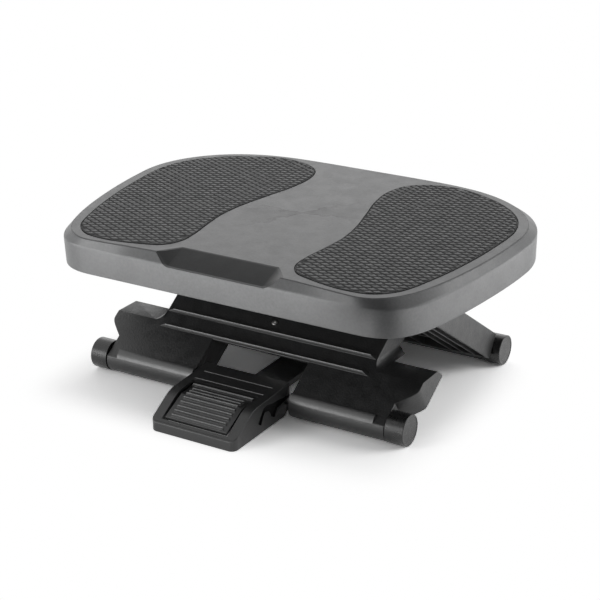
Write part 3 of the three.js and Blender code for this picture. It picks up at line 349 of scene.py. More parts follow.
def greyShellFinish(look, gate):
    # satin grey; round the moulding gate two darker fans with dark rims are painted into the colour: a painted
    # reflection, the bow-tie sheen of the gate's ring marks
    w = mouldedFinish("greyShell", look)
    shift = w.add("ShaderNodeVectorMath", operation="SUBTRACT")
    shift.inputs[1].default_value = gate
    w.join(w.place, "Object", shift, 0)
    away = w.add("ShaderNodeVectorMath", operation="LENGTH")
    w.join(shift, 0, away, 0)
    turn = math.radians(look["gateTurn"])
    spans = []
    for way in ((math.cos(turn), math.sin(turn), 0), (-math.sin(turn), math.cos(turn), 0)):
        dot = w.add("ShaderNodeVectorMath", operation="DOT_PRODUCT")
        dot.inputs[1].default_value = way
        w.join(shift, 0, dot, 0)
        size = w.add("ShaderNodeMath", operation="ABSOLUTE")
        w.join(dot, "Value", size, 0)
        spans.append(size)
    along = w.add("ShaderNodeMath", operation="ADD")
    along.inputs[1].default_value = 0.002
    w.join(spans[0], 0, along, 0)
    ratio = w.add("ShaderNodeMath", operation="DIVIDE")
    w.join(spans[1], 0, ratio, 0)
    w.join(along, 0, ratio, 1)
    drift = w.ramp(w.noise(0.016, detail=3, roughness=0.6), 0, -0.3, 0.3, 0.3, 0.7)
    edge = w.add("ShaderNodeMath", operation="ADD")
    w.join(ratio, 0, edge, 0)
    w.join(drift, 0, edge, 1)
    paintedFan = w.ramp(edge, 0, look["fanShare"], 0, look["fanEdge"] - 0.12, look["fanEdge"] + 0.12)
    off = w.add("ShaderNodeMath", operation="SUBTRACT")
    off.inputs[1].default_value = look["fanEdge"]
    w.join(edge, 0, off, 0)
    near = w.add("ShaderNodeMath", operation="ABSOLUTE")
    w.join(off, 0, near, 0)
    rim = w.ramp(near, 0, look["rimShare"], 0, 0, 0.13)
    dark = w.add("ShaderNodeMath", operation="ADD")
    w.join(paintedFan, 0, dark, 0)
    w.join(rim, 0, dark, 1)
    fade = w.ramp(away, "Value", 1, 0, 0.004, look["gateReach"])
    both = w.add("ShaderNodeMath", operation="MULTIPLY")
    w.join(dark, 0, both, 0)
    w.join(fade, 0, both, 1)
    base = next(link.from_node for link in w.tree.links if link.to_socket == w.shader.inputs["Base Color"])
    # darkens the base colour in the fans and along their rims: painted reflection
    paintedReflection = w.add("ShaderNodeMix", data_type="RGBA")
    paintedReflection.inputs[7].default_value = paint(look["gateDark"])
    w.join(both, 0, paintedReflection, 0)
    w.join(base, 2, paintedReflection, 6)
    w.join(paintedReflection, 2, w.shader, "Base Color")
    return w.material


padRubberLook = {
    "dark": 49, "light": 57, "warmth": -0.5, "cloud": 0.02, "fleck": 0.002, "grain": 0.0007,
    "grainHeight": 0.00004, "pebble": 0.0012, "pebbleHeight": 0.00003, "smooth": 0.42, "rough": 0.56,
    "ior": 1.5, "spec": 0.5,
}
# darker copy of the pad rubber for the channels between the diamonds: painted shade
padChannelShadeLook = {
    "dark": 28, "light": 36, "warmth": -0.4, "cloud": 0.02, "fleck": 0.002, "grain": 0.0007,
    "grainHeight": 0.00005, "pebble": 0.0012, "pebbleHeight": 0.00004, "smooth": 0.6, "rough": 0.72,
    "ior": 1.5, "spec": 0.3,
}
# dark trim plastic; fadeFrom, fadeTo and paintedLitGrey paint light onto the scoop's right end facet
trimPlasticLook = {
    "dark": 29, "light": 34, "warmth": -0.5, "cloud": 0.025, "fleck": 0.003, "grain": 0.0009,
    "grainHeight": 0.00002, "pebble": 0.0014, "pebbleHeight": 0.00002, "smooth": 0.42, "rough": 0.5,
    "ior": 1.45, "spec": 0.3, "fadeFrom": 0.0535, "fadeTo": 0.066, "paintedLitGrey": 100,
}
framePlasticLook = {
    "dark": 26, "light": 33, "warmth": -0.4, "cloud": 0.018, "fleck": 0.0022, "grain": 0.0012,
    "grainHeight": 0.00016, "pebble": 0.0019, "pebbleHeight": 0.00014, "smooth": 0.36, "rough": 0.48,
    "ior": 1.5, "spec": 0.72,
}
# the frame plastic on the toes: the lighter colour is painted light, a lit copy of framePlasticLook; the higher
# gloss is the toes' own
toeLitFrameCopyLook = {
    "dark": 34, "light": 42, "warmth": -0.4, "cloud": 0.018, "fleck": 0.0022, "grain": 0.0012,
    "grainHeight": 0.00006, "pebble": 0.0019, "pebbleHeight": 0.00004, "smooth": 0.3, "rough": 0.38,
    "ior": 1.5, "spec": 1.0,
}
pedalPlasticLook = {
    "dark": 28, "light": 35, "warmth": -0.4, "cloud": 0.015, "fleck": 0.0018, "grain": 0.0009,
    "grainHeight": 0.00008, "pebble": 0.0014, "pebbleHeight": 0.00006, "smooth": 0.34, "rough": 0.44,
    "ior": 1.5, "spec": 0.68,
}
# near-white plastic for thin edges, ribs and lines on the black parts: painted highlight
paintedHighlightLook = {
    "dark": 176, "light": 200, "warmth": -0.4, "cloud": 0.006, "fleck": 0.0015, "grain": 0.0007,
    "grainHeight": 0.00004, "pebble": 0.0012, "pebbleHeight": 0.00002, "smooth": 0.26, "rough": 0.4,
    "ior": 1.5, "spec": 0.6,
}
capRubberLook = {
    "dark": 22, "light": 28, "warmth": -0.3, "cloud": 0.012, "fleck": 0.0016, "grain": 0.0008,
    "grainHeight": 0.00004, "pebble": 0.0012, "pebbleHeight": 0.00003, "smooth": 0.24, "rough": 0.34,
    "ior": 1.5, "spec": 0.6,
}
gapShadeLook = {
    "dark": 10, "light": 15, "warmth": -0.2, "cloud": 0.01, "fleck": 0.0016, "grain": 0.0008,
    "grainHeight": 0.00004, "pebble": 0.0012, "pebbleHeight": 0.00003, "smooth": 0.7, "rough": 0.8,
    "ior": 1.4, "spec": 0.2,
}
acetalLook = {
    "dark": 205, "light": 214, "warmth": 2.5, "cloud": 0.008, "fleck": 0.001, "grain": 0.0005,
    "grainHeight": 0.00002, "pebble": 0.0009, "pebbleHeight": 0.00001, "smooth": 0.36, "rough": 0.46,
    "ior": 1.48, "spec": 0.5,
}
steelLook = {
    "dark": 176, "light": 196, "warmth": 0.5, "turning": 0.0006, "scratch": 0.00002, "smooth": 0.24,
    "rough": 0.42,
}


def trimFinish(look):
    # satin dark plastic that turns grey towards the scoop's right end: painted light on the right end facet, which
    # faces the light
    w = mouldedFinish("trimPlastic", look)
    parts = w.add("ShaderNodeSeparateXYZ")
    w.join(w.place, "Object", parts, 0)
    fade = w.ramp(parts, "X", 0, 1, look["fadeFrom"], look["fadeTo"])
    base = next(link.from_node for link in w.tree.links if link.to_socket == w.shader.inputs["Base Color"])
    # mixes in paintedLitGrey from fadeFrom to fadeTo along X: painted light
    paintedLit = w.add("ShaderNodeMix", data_type="RGBA")
    paintedLit.inputs[7].default_value = paint(look["paintedLitGrey"])
    w.join(fade, 0, paintedLit, 0)
    w.join(base, 2, paintedLit, 6)
    w.join(paintedLit, 2, w.shader, "Base Color")
    return w.material


def steelFinish(look):
    # bright zinc-plated steel with turning marks round the X axis
    w = Wiring("turnedSteel")
    mark = w.noise(look["turning"], detail=3, roughness=0.7, stretch=(1, 0.03, 0.03))
    cloud = w.noise(0.006, detail=4, roughness=0.6)
    tone = w.ramp(cloud, 0, 0, 1, 0.3, 0.7)
    colour = w.blend(tone, 0, paint(look["dark"], look["warmth"]), paint(look["light"], look["warmth"]))
    w.join(colour, 2, w.shader, "Base Color")
    gloss = w.ramp(mark, 0, look["smooth"], look["rough"], 0.3, 0.7)
    w.join(gloss, 0, w.shader, "Roughness")
    w.join(w.bump(mark, 0, look["scratch"]), "Normal", w.shader, "Normal")
    w.shader.inputs["Metallic"].default_value = 1
    return w.material


# the tray's own axes at rest: its slant and the top's middle above the tilt axle
trayPlace = {"slant": 1.64, "rise": 17.3, "forward": 0.8}
tiltY, tiltZ, _, _, _ = axisOf("tilt_axle")
trayAxes = (Matrix.Translation((0, tiltY, tiltZ)) @ Matrix.Rotation(math.radians(trayPlace["slant"]), 4, "X")
            @ Matrix.Translation((0, trayPlace["forward"] * mm, trayPlace["rise"] * mm)))

greyShell = greyShellFinish(greyShellLook, trayAxes @ Vector((0, 0.004, 0)))
padRubber = mouldedFinish("padRubber", padRubberLook).material
padChannelShade = mouldedFinish("padChannelShade", padChannelShadeLook).material
trimPlastic = trimFinish(trimPlasticLook)
framePlastic = mouldedFinish("framePlastic", framePlasticLook).material
toeLitFrameCopy = mouldedFinish("toeLitFrameCopy", toeLitFrameCopyLook).material
pedalPlastic = mouldedFinish("pedalPlastic", pedalPlasticLook).material
paintedHighlight = mouldedFinish("paintedHighlight", paintedHighlightLook).material
capRubber = mouldedFinish("capRubber", capRubberLook).material
gapShade = mouldedFinish("gapShade", gapShadeLook).material
acetal = mouldedFinish("acetal", acetalLook).material
turnedSteel = steelFinish(steelLook)
print("footrest: finishes made")

# tray: sizes in mm, outlines as shares of half the width and half the depth
tray = {
    "halfWidth": 226.5, "halfDepth": 157, "skirt": 37, "bevelDrop": 8.6, "draft": 1, "hem": 1.2,
    "wall": 3.2, "topWall": 3.6, "grooveWidth": 0.9, "grooveDepth": 0.8,
    "hemRound": 1.1, "bevelRound": 1.6, "lipRound": 0.35, "steps": 110,
    "ribDepth": 7, "ribWall": 2, "ribHalfs": (119, 182), "ribRun": 96,
    "wallShares": (
        (0, -1), (0.25, -1), (0.45, -1), (0.663, -1), (0.817, -1), (0.876, -0.866), (0.91, -0.7), (0.947, -0.522),
        (1, -0.03), (1, 0.268), (1.007, 0.624), (0.826, 0.955), (0.486, 0.987), (0.376, 1), (0.177, 1), (0, 1)),
    "topShares": (
        (0, -0.947), (0.15, -0.947), (0.24, -0.947), (0.31, -0.95), (0.45, -0.957), (0.57, -0.985), (0.662, -0.985),
        (0.733, -0.985), (0.817, -0.904), (0.868, -0.713), (0.914, -0.548), (0.973, -0.159), (0.973, 0.255),
        (0.973, 0.573), (0.777, 0.873), (0.483, 0.923), (0.388, 0.946), (0.177, 0.943), (0, 0.943)),
}
scoop = {
    "half": 52.8, "depth": 24.5, "drop": 9, "mouthHalf": 68.4, "mouthDepth": 8, "past": 3,
    "linerAndShade": 1.4, "seam": 0.15,
}
pad = {
    "shares": (
        (0.284, -0.745), (0.281, -0.6), (0.297, -0.42), (0.307, -0.24), (0.291, -0.03), (0.25, 0.21), (0.217, 0.4),
        (0.205, 0.6), (0.24, 0.765), (0.333, 0.86), (0.476, 0.888), (0.62, 0.826), (0.755, 0.72), (0.868, 0.55),
        (0.922, 0.34), (0.919, 0.02), (0.893, -0.29), (0.848, -0.585), (0.79, -0.81), (0.705, -0.915),
        (0.57, -0.937), (0.42, -0.897), (0.33, -0.848)),
    "steps": 8, "recess": 1.6, "gap": 0.75, "floor": 1.3, "ground": 0.2, "top": 0.9, "edge": 0.5, "rim": 0.45,
    "alongX": 14.8, "alongY": 6.9, "channel": 1.3, "slope": 0.7, "margin": 1.0,
}


def evenSpread(points, count, closed=False):
    # the same line with its points at even distances
    line = points + [points[0]] if closed else points
    reach = [0.0]
    for a, b in zip(line, line[1:]):
        reach.append(reach[-1] + (b - a).length)
    out, k = [], 0
    total = count if closed else count + 1
    for i in range(total):
        goal = reach[-1] * i / count
        while k < len(line) - 2 and reach[k + 1] < goal:
            k += 1
        span = reach[k + 1] - reach[k]
        out.append(line[k].lerp(line[k + 1], (goal - reach[k]) / span if span else 0))
    return out


def trayOutline(shares):
    corners = [Vector((sx * tray["halfWidth"], sy * tray["halfDepth"])) for sx, sy in shares]
    line = []
    for i in range(0, len(corners) - 1, 3):
        a, b, c, d = corners[i:i + 4]
        for k in range(40):
            t = k / 40
            line.append(a * (1 - t) ** 3 + b * 3 * t * (1 - t) ** 2 + c * 3 * t * t * (1 - t) + d * t ** 3)
    line.append(corners[-1])
    half = evenSpread(line, tray["steps"])
    return half + [Vector((-p.x, p.y)) for p in reversed(half[1:-1])]


def movedIn(outline, inset):
    count = len(outline)
    out = []
    for i, p in enumerate(outline):
        along = (outline[(i + 1) % count] - outline[i - 1]).normalized()
        out.append(Vector((p.x - along.y * inset, p.y + along.x * inset)))
    return out


def padOutline(side, inset):
    # closed centripetal curve through the shares, the same on both sides
    corners = [Vector((sx * tray["halfWidth"], sy * tray["halfDepth"])) for sx, sy in pad["shares"]]
    count, line = len(corners), []
    for i in range(count):
        p0, p1, p2, p3 = (corners[(i + k - 1) % count] for k in range(4))
        d0, d1, d2 = ((b - a).length ** 0.5 for a, b in ((p0, p1), (p1, p2), (p2, p3)))
        t1 = ((p1 - p0) / d0 - (p2 - p0) / (d0 + d1) + (p2 - p1) / d1) * d1
        t2 = ((p2 - p1) / d1 - (p3 - p1) / (d1 + d2) + (p3 - p2) / d2) * d1
        for k in range(pad["steps"]):
            t = k / pad["steps"]
            bend, twist = p2 * 3 - p1 * 3 - t1 * 2 - t2, p1 * 2 - p2 * 2 + t1 + t2
            line.append(p1 + t1 * t + bend * t ** 2 + twist * t ** 3)
    line = evenSpread(line, count * pad["steps"], closed=True)
    area = sum(a.x * b.y - b.x * a.y for a, b in zip(line, line[1:] + line[:1]))
    if area < 0:
        line.reverse()
    line = [Vector((side * p.x, p.y)) for p in movedIn(line, inset)]
    return line[::-1] if side < 0 else line


def onTray(points, z):
    return [trayAxes @ Vector((p.x * mm, p.y * mm, z * mm)) for p in points]


def scoopCutter(grow):
    backY = -tray["halfDepth"] + scoop["depth"] + grow
    fall = scoop["drop"] / scoop["depth"]
    out = -tray["halfDepth"] - scoop["past"]
    slant = (scoop["mouthHalf"] - scoop["half"]) / (backY + tray["halfDepth"] - scoop["mouthDepth"])
    corners = []
    for side in (-1, 1):
        inner = scoop["half"] + grow
        riseY = backY + scoop["past"] / fall
        corners += [(side * inner, backY, -grow), (side * inner, out, (out - backY) * fall - grow),
                    (side * inner, riseY, scoop["past"]),
                    (side * (inner + slant * (riseY - out)), out, scoop["past"])]
    return hullPiece("scoopCutter", [trayAxes @ (Vector(c) * mm) for c in corners])


def scoopLinerAndShade(skin):
    # thin dark lining of the scoop, trimmed to the tray's own skin: on the scoop's floor it is the dark trim plate,
    # on both end facets it is painted shade
    linerAndShade = scoopCutter(scoop["linerAndShade"] - scoop["seam"])
    form = bpy.data.objects.new("traySkin", skin.data.copy())
    bpy.context.scene.collection.objects.link(form)
    combined(linerAndShade, form, "INTERSECT")
    combined(linerAndShade, scoopCutter(0), "DIFFERENCE")
    linerAndShade.name = "scoopLiningAndShade"
    smoothed(linerAndShade, 26)
    return fitted(linerAndShade, "tray", trimPlastic, "trim_plastic", "front_trim")


def buildTrayShell():
    wallLine, topLine = trayOutline(tray["wallShares"]), trayOutline(tray["topShares"])
    t = tray
    corners = [
        (wallLine, t["draft"] + t["hem"] + 1.2, -t["skirt"], 0),
        (wallLine, t["draft"], -t["skirt"], t["hemRound"]),
        (wallLine, 0.35, -t["bevelDrop"], t["bevelRound"]),
        (topLine, -0.55, -0.45, t["lipRound"]),
        (topLine, -0.05, -t["grooveDepth"], 0.12),
        (topLine, t["grooveWidth"] - 0.2, 0, t["lipRound"]),
        (topLine, 4, 0, 0),
    ]
    columns = [onTray(movedIn(line, inset), z) for line, inset, z, _ in corners]
    rounds = [c[3] * mm for c in corners]
    sections = [softened([col[i] for col in columns], rounds, 4) for i in range(len(wallLine))]
    outer = newPiece("trayShell", *lofted([list(ring) for ring in zip(*sections)]))
    faceOutward(outer)
    linerAndShade = scoopLinerAndShade(outer)
    hollow = [
        (wallLine, t["draft"] + t["wall"], -t["skirt"] - 3, 0),
        (wallLine, t["wall"], -t["bevelDrop"] - 1.6, 2.0),
        (topLine, t["wall"], -t["topWall"], 1.2),
        (topLine, t["wall"] + 6, -t["topWall"], 0),
    ]
    columns = [onTray(movedIn(line, inset), z) for line, inset, z, _ in hollow]
    rounds = [c[3] * mm for c in hollow]
    sections = [softened([col[i] for col in columns], rounds, 3) for i in range(len(wallLine))]
    inner = newPiece("trayHollow", *lofted([list(ring) for ring in zip(*sections)]))
    faceOutward(inner)
    combined(inner, scoopCutter(t["wall"]), "DIFFERENCE")
    combined(outer, inner, "DIFFERENCE")
    for half in t["ribHalfs"]:
        for side in (-1, 1):
            low = Vector((side * half - t["ribWall"] / 2, -t["ribRun"], -t["topWall"] - t["ribDepth"])) * mm
            high = Vector((side * half + t["ribWall"] / 2, t["ribRun"], -(t["topWall"] - 0.7))) * mm
            combined(outer, blockPiece("trayRib", low, high, trayAxes), "UNION")
    combined(outer, scoopCutter(scoop["linerAndShade"]), "DIFFERENCE")
    for side in (-1, 1):
        rings = [(0, -pad["recess"]), (0, -pad["rim"]), (-0.1 * pad["rim"], -0.45 * pad["rim"]),
                 (-0.45 * pad["rim"], -0.1 * pad["rim"]), (-1.2 * pad["rim"], 0.1), (-2, 1)]
        cutter = newPiece("padRecess", *lofted([onTray(padOutline(side, inset), z) for inset, z in rings]))
        faceOutward(cutter)
        combined(outer, cutter, "DIFFERENCE")
    smoothed(outer, 26)
    return fitted(outer, "tray", greyShell, "grey_shell", "tray_shell"), linerAndShade


trayShell, scoopLiningAndShade = buildTrayShell()
print("footrest: tray shell,", len(trayShell.data.polygons), "faces")


def clipped(polygon, a, b):
    # the part of a polygon left of the line from a to b
    out = []
    side = lambda p: (b.x - a.x) * (p.y - a.y) - (b.y - a.y) * (p.x - a.x)
    for p, q in zip(polygon, polygon[1:] + polygon[:1]):
        sp, sq = side(p), side(q)
        if sp >= 0:
            out.append(p)
        if sp * sq < 0:
            out.append(p.lerp(q, sp / (sp - sq)))
    return out


def tidied(polygon, least):
    out = []
    for p in polygon:
        if not out or (p - out[-1]).length > least:
            out.append(p)
    while len(out) > 2 and (out[0] - out[-1]).length <= least:
        out.pop()
    return out


def areaOf(polygon):
    return sum(a.x * b.y - b.x * a.y for a, b in zip(polygon, polygon[1:] + polygon[:1])) / 2


def shrunk(polygon, step):
    # each side moved inward by step; returns nothing where the form is too small for it
    count, out = len(polygon), []
    for i, p in enumerate(polygon):
        into, away = (p - polygon[i - 1]).normalized(), (polygon[(i + 1) % count] - p).normalized()
        n1, n2 = Vector((-into.y, into.x)), Vector((-away.y, away.x))
        turn = 1 + n1.dot(n2)
        if turn < 0.15:
            return None
        out.append(p + (n1 + n2) * step / turn)
    if areaOf(out) < 0.5:
        return None
    for i, p in enumerate(out):
        if (out[(i + 1) % count] - p).dot(polygon[(i + 1) % count] - polygon[i]) < 0:
            return None
    return out


def buildPad(side, name):
    field = padOutline(side, pad["gap"] + pad["margin"])
    rings = [(pad["gap"], -pad["floor"]), (pad["gap"], pad["ground"] - pad["edge"] * 0.5),
             (pad["gap"] + pad["edge"] * 0.35, pad["ground"] + 0.12), (pad["gap"] + pad["edge"], pad["ground"])]
    verts, faces = lofted([onTray(padOutline(side, inset), z) for inset, z in rings])
    groundCount = len(faces)
    lowX, highX = min(p.x for p in field), max(p.x for p in field)
    lowY, highY = min(p.y for p in field), max(p.y for p in field)
    halfX, halfY = pad["alongX"] / 2, pad["alongY"] / 2
    slant = math.atan2(halfY, halfX)
    cutX, cutY = pad["channel"] / 2 / math.sin(slant), pad["channel"] / 2 / math.cos(slant)
    for row in range(int(lowY / halfY) - 1, int(highY / halfY) + 2):
        shift = halfX if row % 2 else 0
        for column in range(int(lowX / pad["alongX"]) - 1, int(highX / pad["alongX"]) + 2):
            x, y = column * pad["alongX"] + shift, row * halfY
            diamond = [Vector((x + halfX - cutX, y)), Vector((x, y + halfY - cutY)),
                       Vector((x - halfX + cutX, y)), Vector((x, y - halfY + cutY))]
            form = field
            for a, b in zip(diamond, diamond[1:] + diamond[:1]):
                form = clipped(form, a, b)
                if len(form) < 3:
                    break
            form = tidied(form, 0.12) if len(form) > 2 else []
            if len(form) < 3 or areaOf(form) < 3:
                continue
            levels = [(form, pad["ground"] - 0.15)]
            for inset, z in ((0.3 * pad["slope"], 0.55), (0.62 * pad["slope"], 0.88), (pad["slope"], 1.0)):
                ring = shrunk(form, inset)
                if ring is None:
                    break
                levels.append((ring, pad["ground"] + (pad["top"] - pad["ground"]) * z))
            if len(levels) < 2:
                continue
            base, count = len(verts), len(form)
            for ring, z in levels:
                verts += onTray(ring, z)
            for level in range(len(levels) - 1):
                for i in range(count):
                    j = (i + 1) % count
                    low = base + level * count
                    faces.append((low + i, low + j, low + count + j, low + count + i))
            faces.append(tuple(base + (len(levels) - 1) * count + i for i in range(count)))
    piece = newPiece(name, verts, faces)
    piece.data.shade_smooth()
    piece.data.set_sharp_from_angle(angle=math.radians(50))
    fitted(piece, "tray", padRubber, "pad_rubber", "foot_pad_left" if side < 0 else "foot_pad_right")
    # the channels' ground faces take the darker copy of the rubber: painted shade
    piece.data.materials.append(padChannelShade)
    for face in piece.data.polygons[:groundCount]:
        face.material_index = 1
    return piece


padLeft = buildPad(-1, "padLeft")
padRight = buildPad(1, "padRight")
print("footrest: pads,", len(padLeft.data.polygons), "faces each")

# mouldings that keep the frame's form with its edges rounded: node, body, finish, slot, edge width in mm
frames = {
    "frontLeg": ("front_leg", "front_leg", framePlastic, "frame_plastic", 0.7),
    "rearLeg": ("rear_leg", "rear_leg", framePlastic, "frame_plastic", 0.7),
    "strutGuide": ("strut_guide", "front_leg", framePlastic, "frame_plastic", 0.45),
    "heightStrut": ("height_strut", "strut", framePlastic, "frame_plastic", 0.5),
    "carrierFrame": ("carrier_frame", "carrier", framePlastic, "frame_plastic", 0.6),
    "tiltBracketLeft": ("tilt_bracket_left", "tray", framePlastic, "frame_plastic", 0.4),
    "tiltBracketRight": ("tilt_bracket_right", "tray", framePlastic, "frame_plastic", 0.4),
    "pedalTread": ("pedal_tread", "tread", pedalPlastic, "pedal_plastic", 0.35),
}


def roundedForm(name, node, body, finish, slotName, width):
    form = bmesh.new()
    form.from_mesh(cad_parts[node].data)
    bmesh.ops.remove_doubles(form, verts=form.verts, dist=8e-6)
    bmesh.ops.dissolve_limit(form, angle_limit=math.radians(0.6), verts=form.verts, edges=form.edges)
    bmesh.ops.triangulate(form, faces=[f for f in form.faces if len(f.verts) > 4], ngon_method="BEAUTY")
    bmesh.ops.recalc_face_normals(form, faces=form.faces)
    weight = form.edges.layers.float.new("bevel_weight_edge")
    for edge in form.edges:
        sharp = len(edge.link_faces) == 2 and edge.calc_face_angle(0) > math.radians(34)
        if sharp and edge.calc_length() > 2 * width * mm:
            edge[weight] = 1
    mesh = bpy.data.meshes.new(name)
    form.to_mesh(mesh)
    form.free()
    piece = bpy.data.objects.new(name, mesh)
    bpy.context.scene.collection.objects.link(piece)
    rounding = piece.modifiers.new("edgeRound", "BEVEL")
    rounding.width = width * mm
    rounding.segments = 2
    rounding.limit_method = "WEIGHT"
    rounding.use_clamp_overlap = False
    rounding.loop_slide = False
    applied(piece)
    smoothed(piece, 40)
    return fitted(piece, body, finish, slotName, node)


mouldings = {name: roundedForm(name, *facts) for name, facts in frames.items()}
print("footrest: moulded frames,", sum(len(p.data.polygons) for p in mouldings.values()), "faces")

legSlant = math.radians(33.6)
footY, footZ, _, _, _ = axisOf("foot_axle")
legAxes = Matrix.Translation((0, footY, footZ)) @ Matrix.Rotation(legSlant, 4, "X")
ledges = {
    "runs": (41.7, 61.2), "half": 115.6, "top": 15.1, "from": -0.85, "to": -0.1, "proud": 0.08,
    "deep": 0.6, "round": 0.25,
}


def buildLedgeRims():
    # the ledges' front edges in near-white plastic: a painted highlight along each edge
    rims = []
    for run in ledges["runs"]:
        low = Vector((-ledges["half"], run + ledges["from"], ledges["top"] - ledges["deep"])) * mm
        high = Vector((ledges["half"], run + ledges["to"], ledges["top"] + ledges["proud"])) * mm
        rims.append(edgeSoftened(blockPiece("rim", low, high, legAxes), ledges["round"] * mm, 3))
    return fitted(joinedUp("ledgeRims", rims), "front_leg", paintedHighlight, "frame_plastic")


buildLedgeRims()

toes = {"radius": 15.15, "near": 56.3, "groove": 0.8, "fromTurn": -62, "toTurn": 58, "steps": 28, "deep": 3.5}


def prism(name, outline, low, high, across):
    # outline is closed; across lays a corner and a distance out as a place
    count = len(outline)
    verts = [across(p, low) for p in outline] + [across(p, high) for p in outline]
    faces = [tuple(range(count)), tuple(range(2 * count - 1, count - 1, -1))]
    faces += [(i, (i + 1) % count, count + (i + 1) % count, count + i) for i in range(count)]
    piece = newPiece(name, verts, faces)
    faceOutward(piece)
    return piece


def buildToe(side):
    # round front of the leg's foot, from under the sole up to the slope's own tangent, in a lighter copy of the
    # frame plastic: the lighter colour is painted light
    outer, inner = [], []
    for k in range(toes["steps"] + 1):
        turn = math.radians(toes["fromTurn"] + (toes["toTurn"] - toes["fromTurn"]) * k / toes["steps"])
        way = Vector((math.cos(turn), math.sin(turn), 0))
        outer.append(way * toes["radius"])
        inner.append(way * (toes["radius"] - toes["deep"]))
    ends = sorted((side * toes["near"], side * (axisOf("front_cap_right")[2] / mm - toes["groove"])))
    piece = prism("toe" + ("Left" if side < 0 else "Right"), outer + inner[::-1], *ends,
                  lambda p, x: Vector((x * mm, footY - p.x * mm, footZ + p.y * mm)))
    edgeSoftened(piece, 0.3 * mm, 2, 50)
    smoothed(piece, 40)
    return fitted(piece, "front_leg", toeLitFrameCopy, "frame_plastic")


buildToe(-1)
buildToe(1)

# pedal in mm: side profile as run before the foot axis, height and corner rounding
pedal = {
    "side": ((46, 0.4, 0), (95.6, 0.4, 0.9), (95.6, 9.8, 0.8), (94.6, 11.1, 0.8), (61, 30.4, 9), (-3.2, 32.6, 1),
             (-3.2, 8.4, 1), (6.5, 0.4, 1), (46, 0.4, 0)),
    "inner": ((-0.2, -0.3), (92.6, -0.3), (92.6, 8.6), (61, 26.7), (-0.2, 29.6)),
    "knee": (61, 30.4), "front": (95.6, 10.5), "rear": (-3.2, 32.6),
    "half": 48, "back": 8, "corner": 7, "steps": 12, "edge": 0.8, "wall": 3,
    "window": (37.4, 36.5, 91), "door": (20.1, 10.1), "lines": (31.2, 15), "lineHalf": 39.5, "lineWide": 0.6,
    "lineHigh": 0.22, "cheek": ((10.5, 3.4), (-2.9, 11.4), (-2.9, 31), (10.5, 30.6)), "cheekWide": 4.5,
    "boss": 5, "pin": (28.6, 21.5, 2.8), "axle": 4.3, "crackDeep": 2.2,
    "crack": (
        (54.2, 12.4), (48.7, 19.6), (44.2, 24.6), (37.7, 25.6), (27, 23.2), (20.5, 23), (9.5, 21.4), (3.6, 20.8),
        (3.6, 17.2), (11.9, 16.5), (19.6, 15.5), (23, 11.2), (25.3, 7.6), (30.7, 10.3), (32.7, 15.3),
        (35.8, 18.6), (42.2, 20), (45.6, 15.7), (49, 8.9)),
}


def pedalTopAt(past):
    knee, end = pedal["knee"], pedal["front" if past >= pedal["knee"][0] else "rear"]
    return knee[1] + (end[1] - knee[1]) * (past - knee[0]) / (end[0] - knee[0])


def acrossPedal(name, outline, low, high):
    # outline as run before the foot axis and height, swept from low to high across the pedal
    return prism(name, [Vector((run, height, 0)) for run, height in outline], low, high,
                 lambda p, x: Vector((x * mm, footY - p.x * mm, p.y * mm)))


def pedalWalls(inset):
    # upright walls with rounded front corners
    corner, plan = pedal["corner"] - inset, []
    half, front = pedal["half"] - inset, pedal["front"][0] - inset + 0.01
    for k in range(pedal["steps"] + 1):
        angle = math.pi / 2 * k / pedal["steps"]
        plan.append((half - corner + corner * math.sin(angle), front - corner + corner * math.cos(angle)))
    plan.append((half, -pedal["back"]))
    plan += [(-x, run) for x, run in reversed(plan)]
    plan = [p for i, p in enumerate(plan) if p != plan[i - 1]]
    return prism("walls", [Vector((x, run, 0)) for x, run in plan], -2, 40,
                 lambda p, z: Vector((p.x * mm, footY - p.y * mm, z * mm)))


def pedalBlock(halfX, runFrom, runTo, low, high):
    near, far = footY - runTo * mm, footY - runFrom * mm
    return blockPiece("part", (-halfX * mm, near, low * mm), (halfX * mm, far, high * mm))


def acrossRod(run, height, radius, low, high):
    return turned("rod", [(low * mm, 0), (low * mm, radius * mm), (high * mm, radius * mm), (high * mm, 0)],
                  footY - run * mm, height * mm, 40)


def buildPedalHousing():
    p = pedal
    line = softened([Vector((run, height, 0)) for run, height, _ in p["side"]], [c[2] for c in p["side"]], 6)
    piece = acrossPedal("pedalHousing", [(q.x, q.y) for q in line[:-1]], -p["half"] - 2, p["half"] + 2)
    combined(piece, pedalWalls(0), "INTERSECT")
    edgeSoftened(piece, p["edge"] * mm, 3, 40)
    hollow = acrossPedal("hollow", p["inner"], -p["half"], p["half"])
    combined(hollow, pedalWalls(p["wall"]), "INTERSECT")
    inside = p["half"] - p["wall"]
    for side in (-1, 1):
        ends = sorted((side * (inside - p["cheekWide"]), side * (inside + 1)))
        combined(hollow, acrossPedal("cheek", p["cheek"], *ends), "DIFFERENCE")
        combined(hollow, acrossRod(p["pin"][0], p["pin"][1], p["boss"], *ends), "DIFFERENCE")
    combined(piece, hollow, "DIFFERENCE")
    halfX, near, far = p["window"]
    combined(piece, pedalBlock(halfX, near, far, p["wall"], 40), "DIFFERENCE")
    combined(piece, pedalBlock(p["door"][0], -p["back"], 3, -1, p["door"][1]), "DIFFERENCE")
    for side in (-1, 1):
        ends = sorted((side * (p["half"] - p["crackDeep"]), side * (p["half"] + 1)))
        # the cracks' walls are near-black: painted shade
        darkCut(piece, acrossPedal("crack", p["crack"], *ends))
    combined(piece, acrossRod(p["pin"][0], p["pin"][1], p["pin"][2], -inside, inside), "DIFFERENCE")
    combined(piece, acrossRod(0, footZ / mm, p["axle"], -p["half"] - 1, p["half"] + 1), "DIFFERENCE")
    smoothed(piece, 35)
    return fitted(piece, "pedal", pedalPlastic, "pedal_plastic", "pedal_housing")


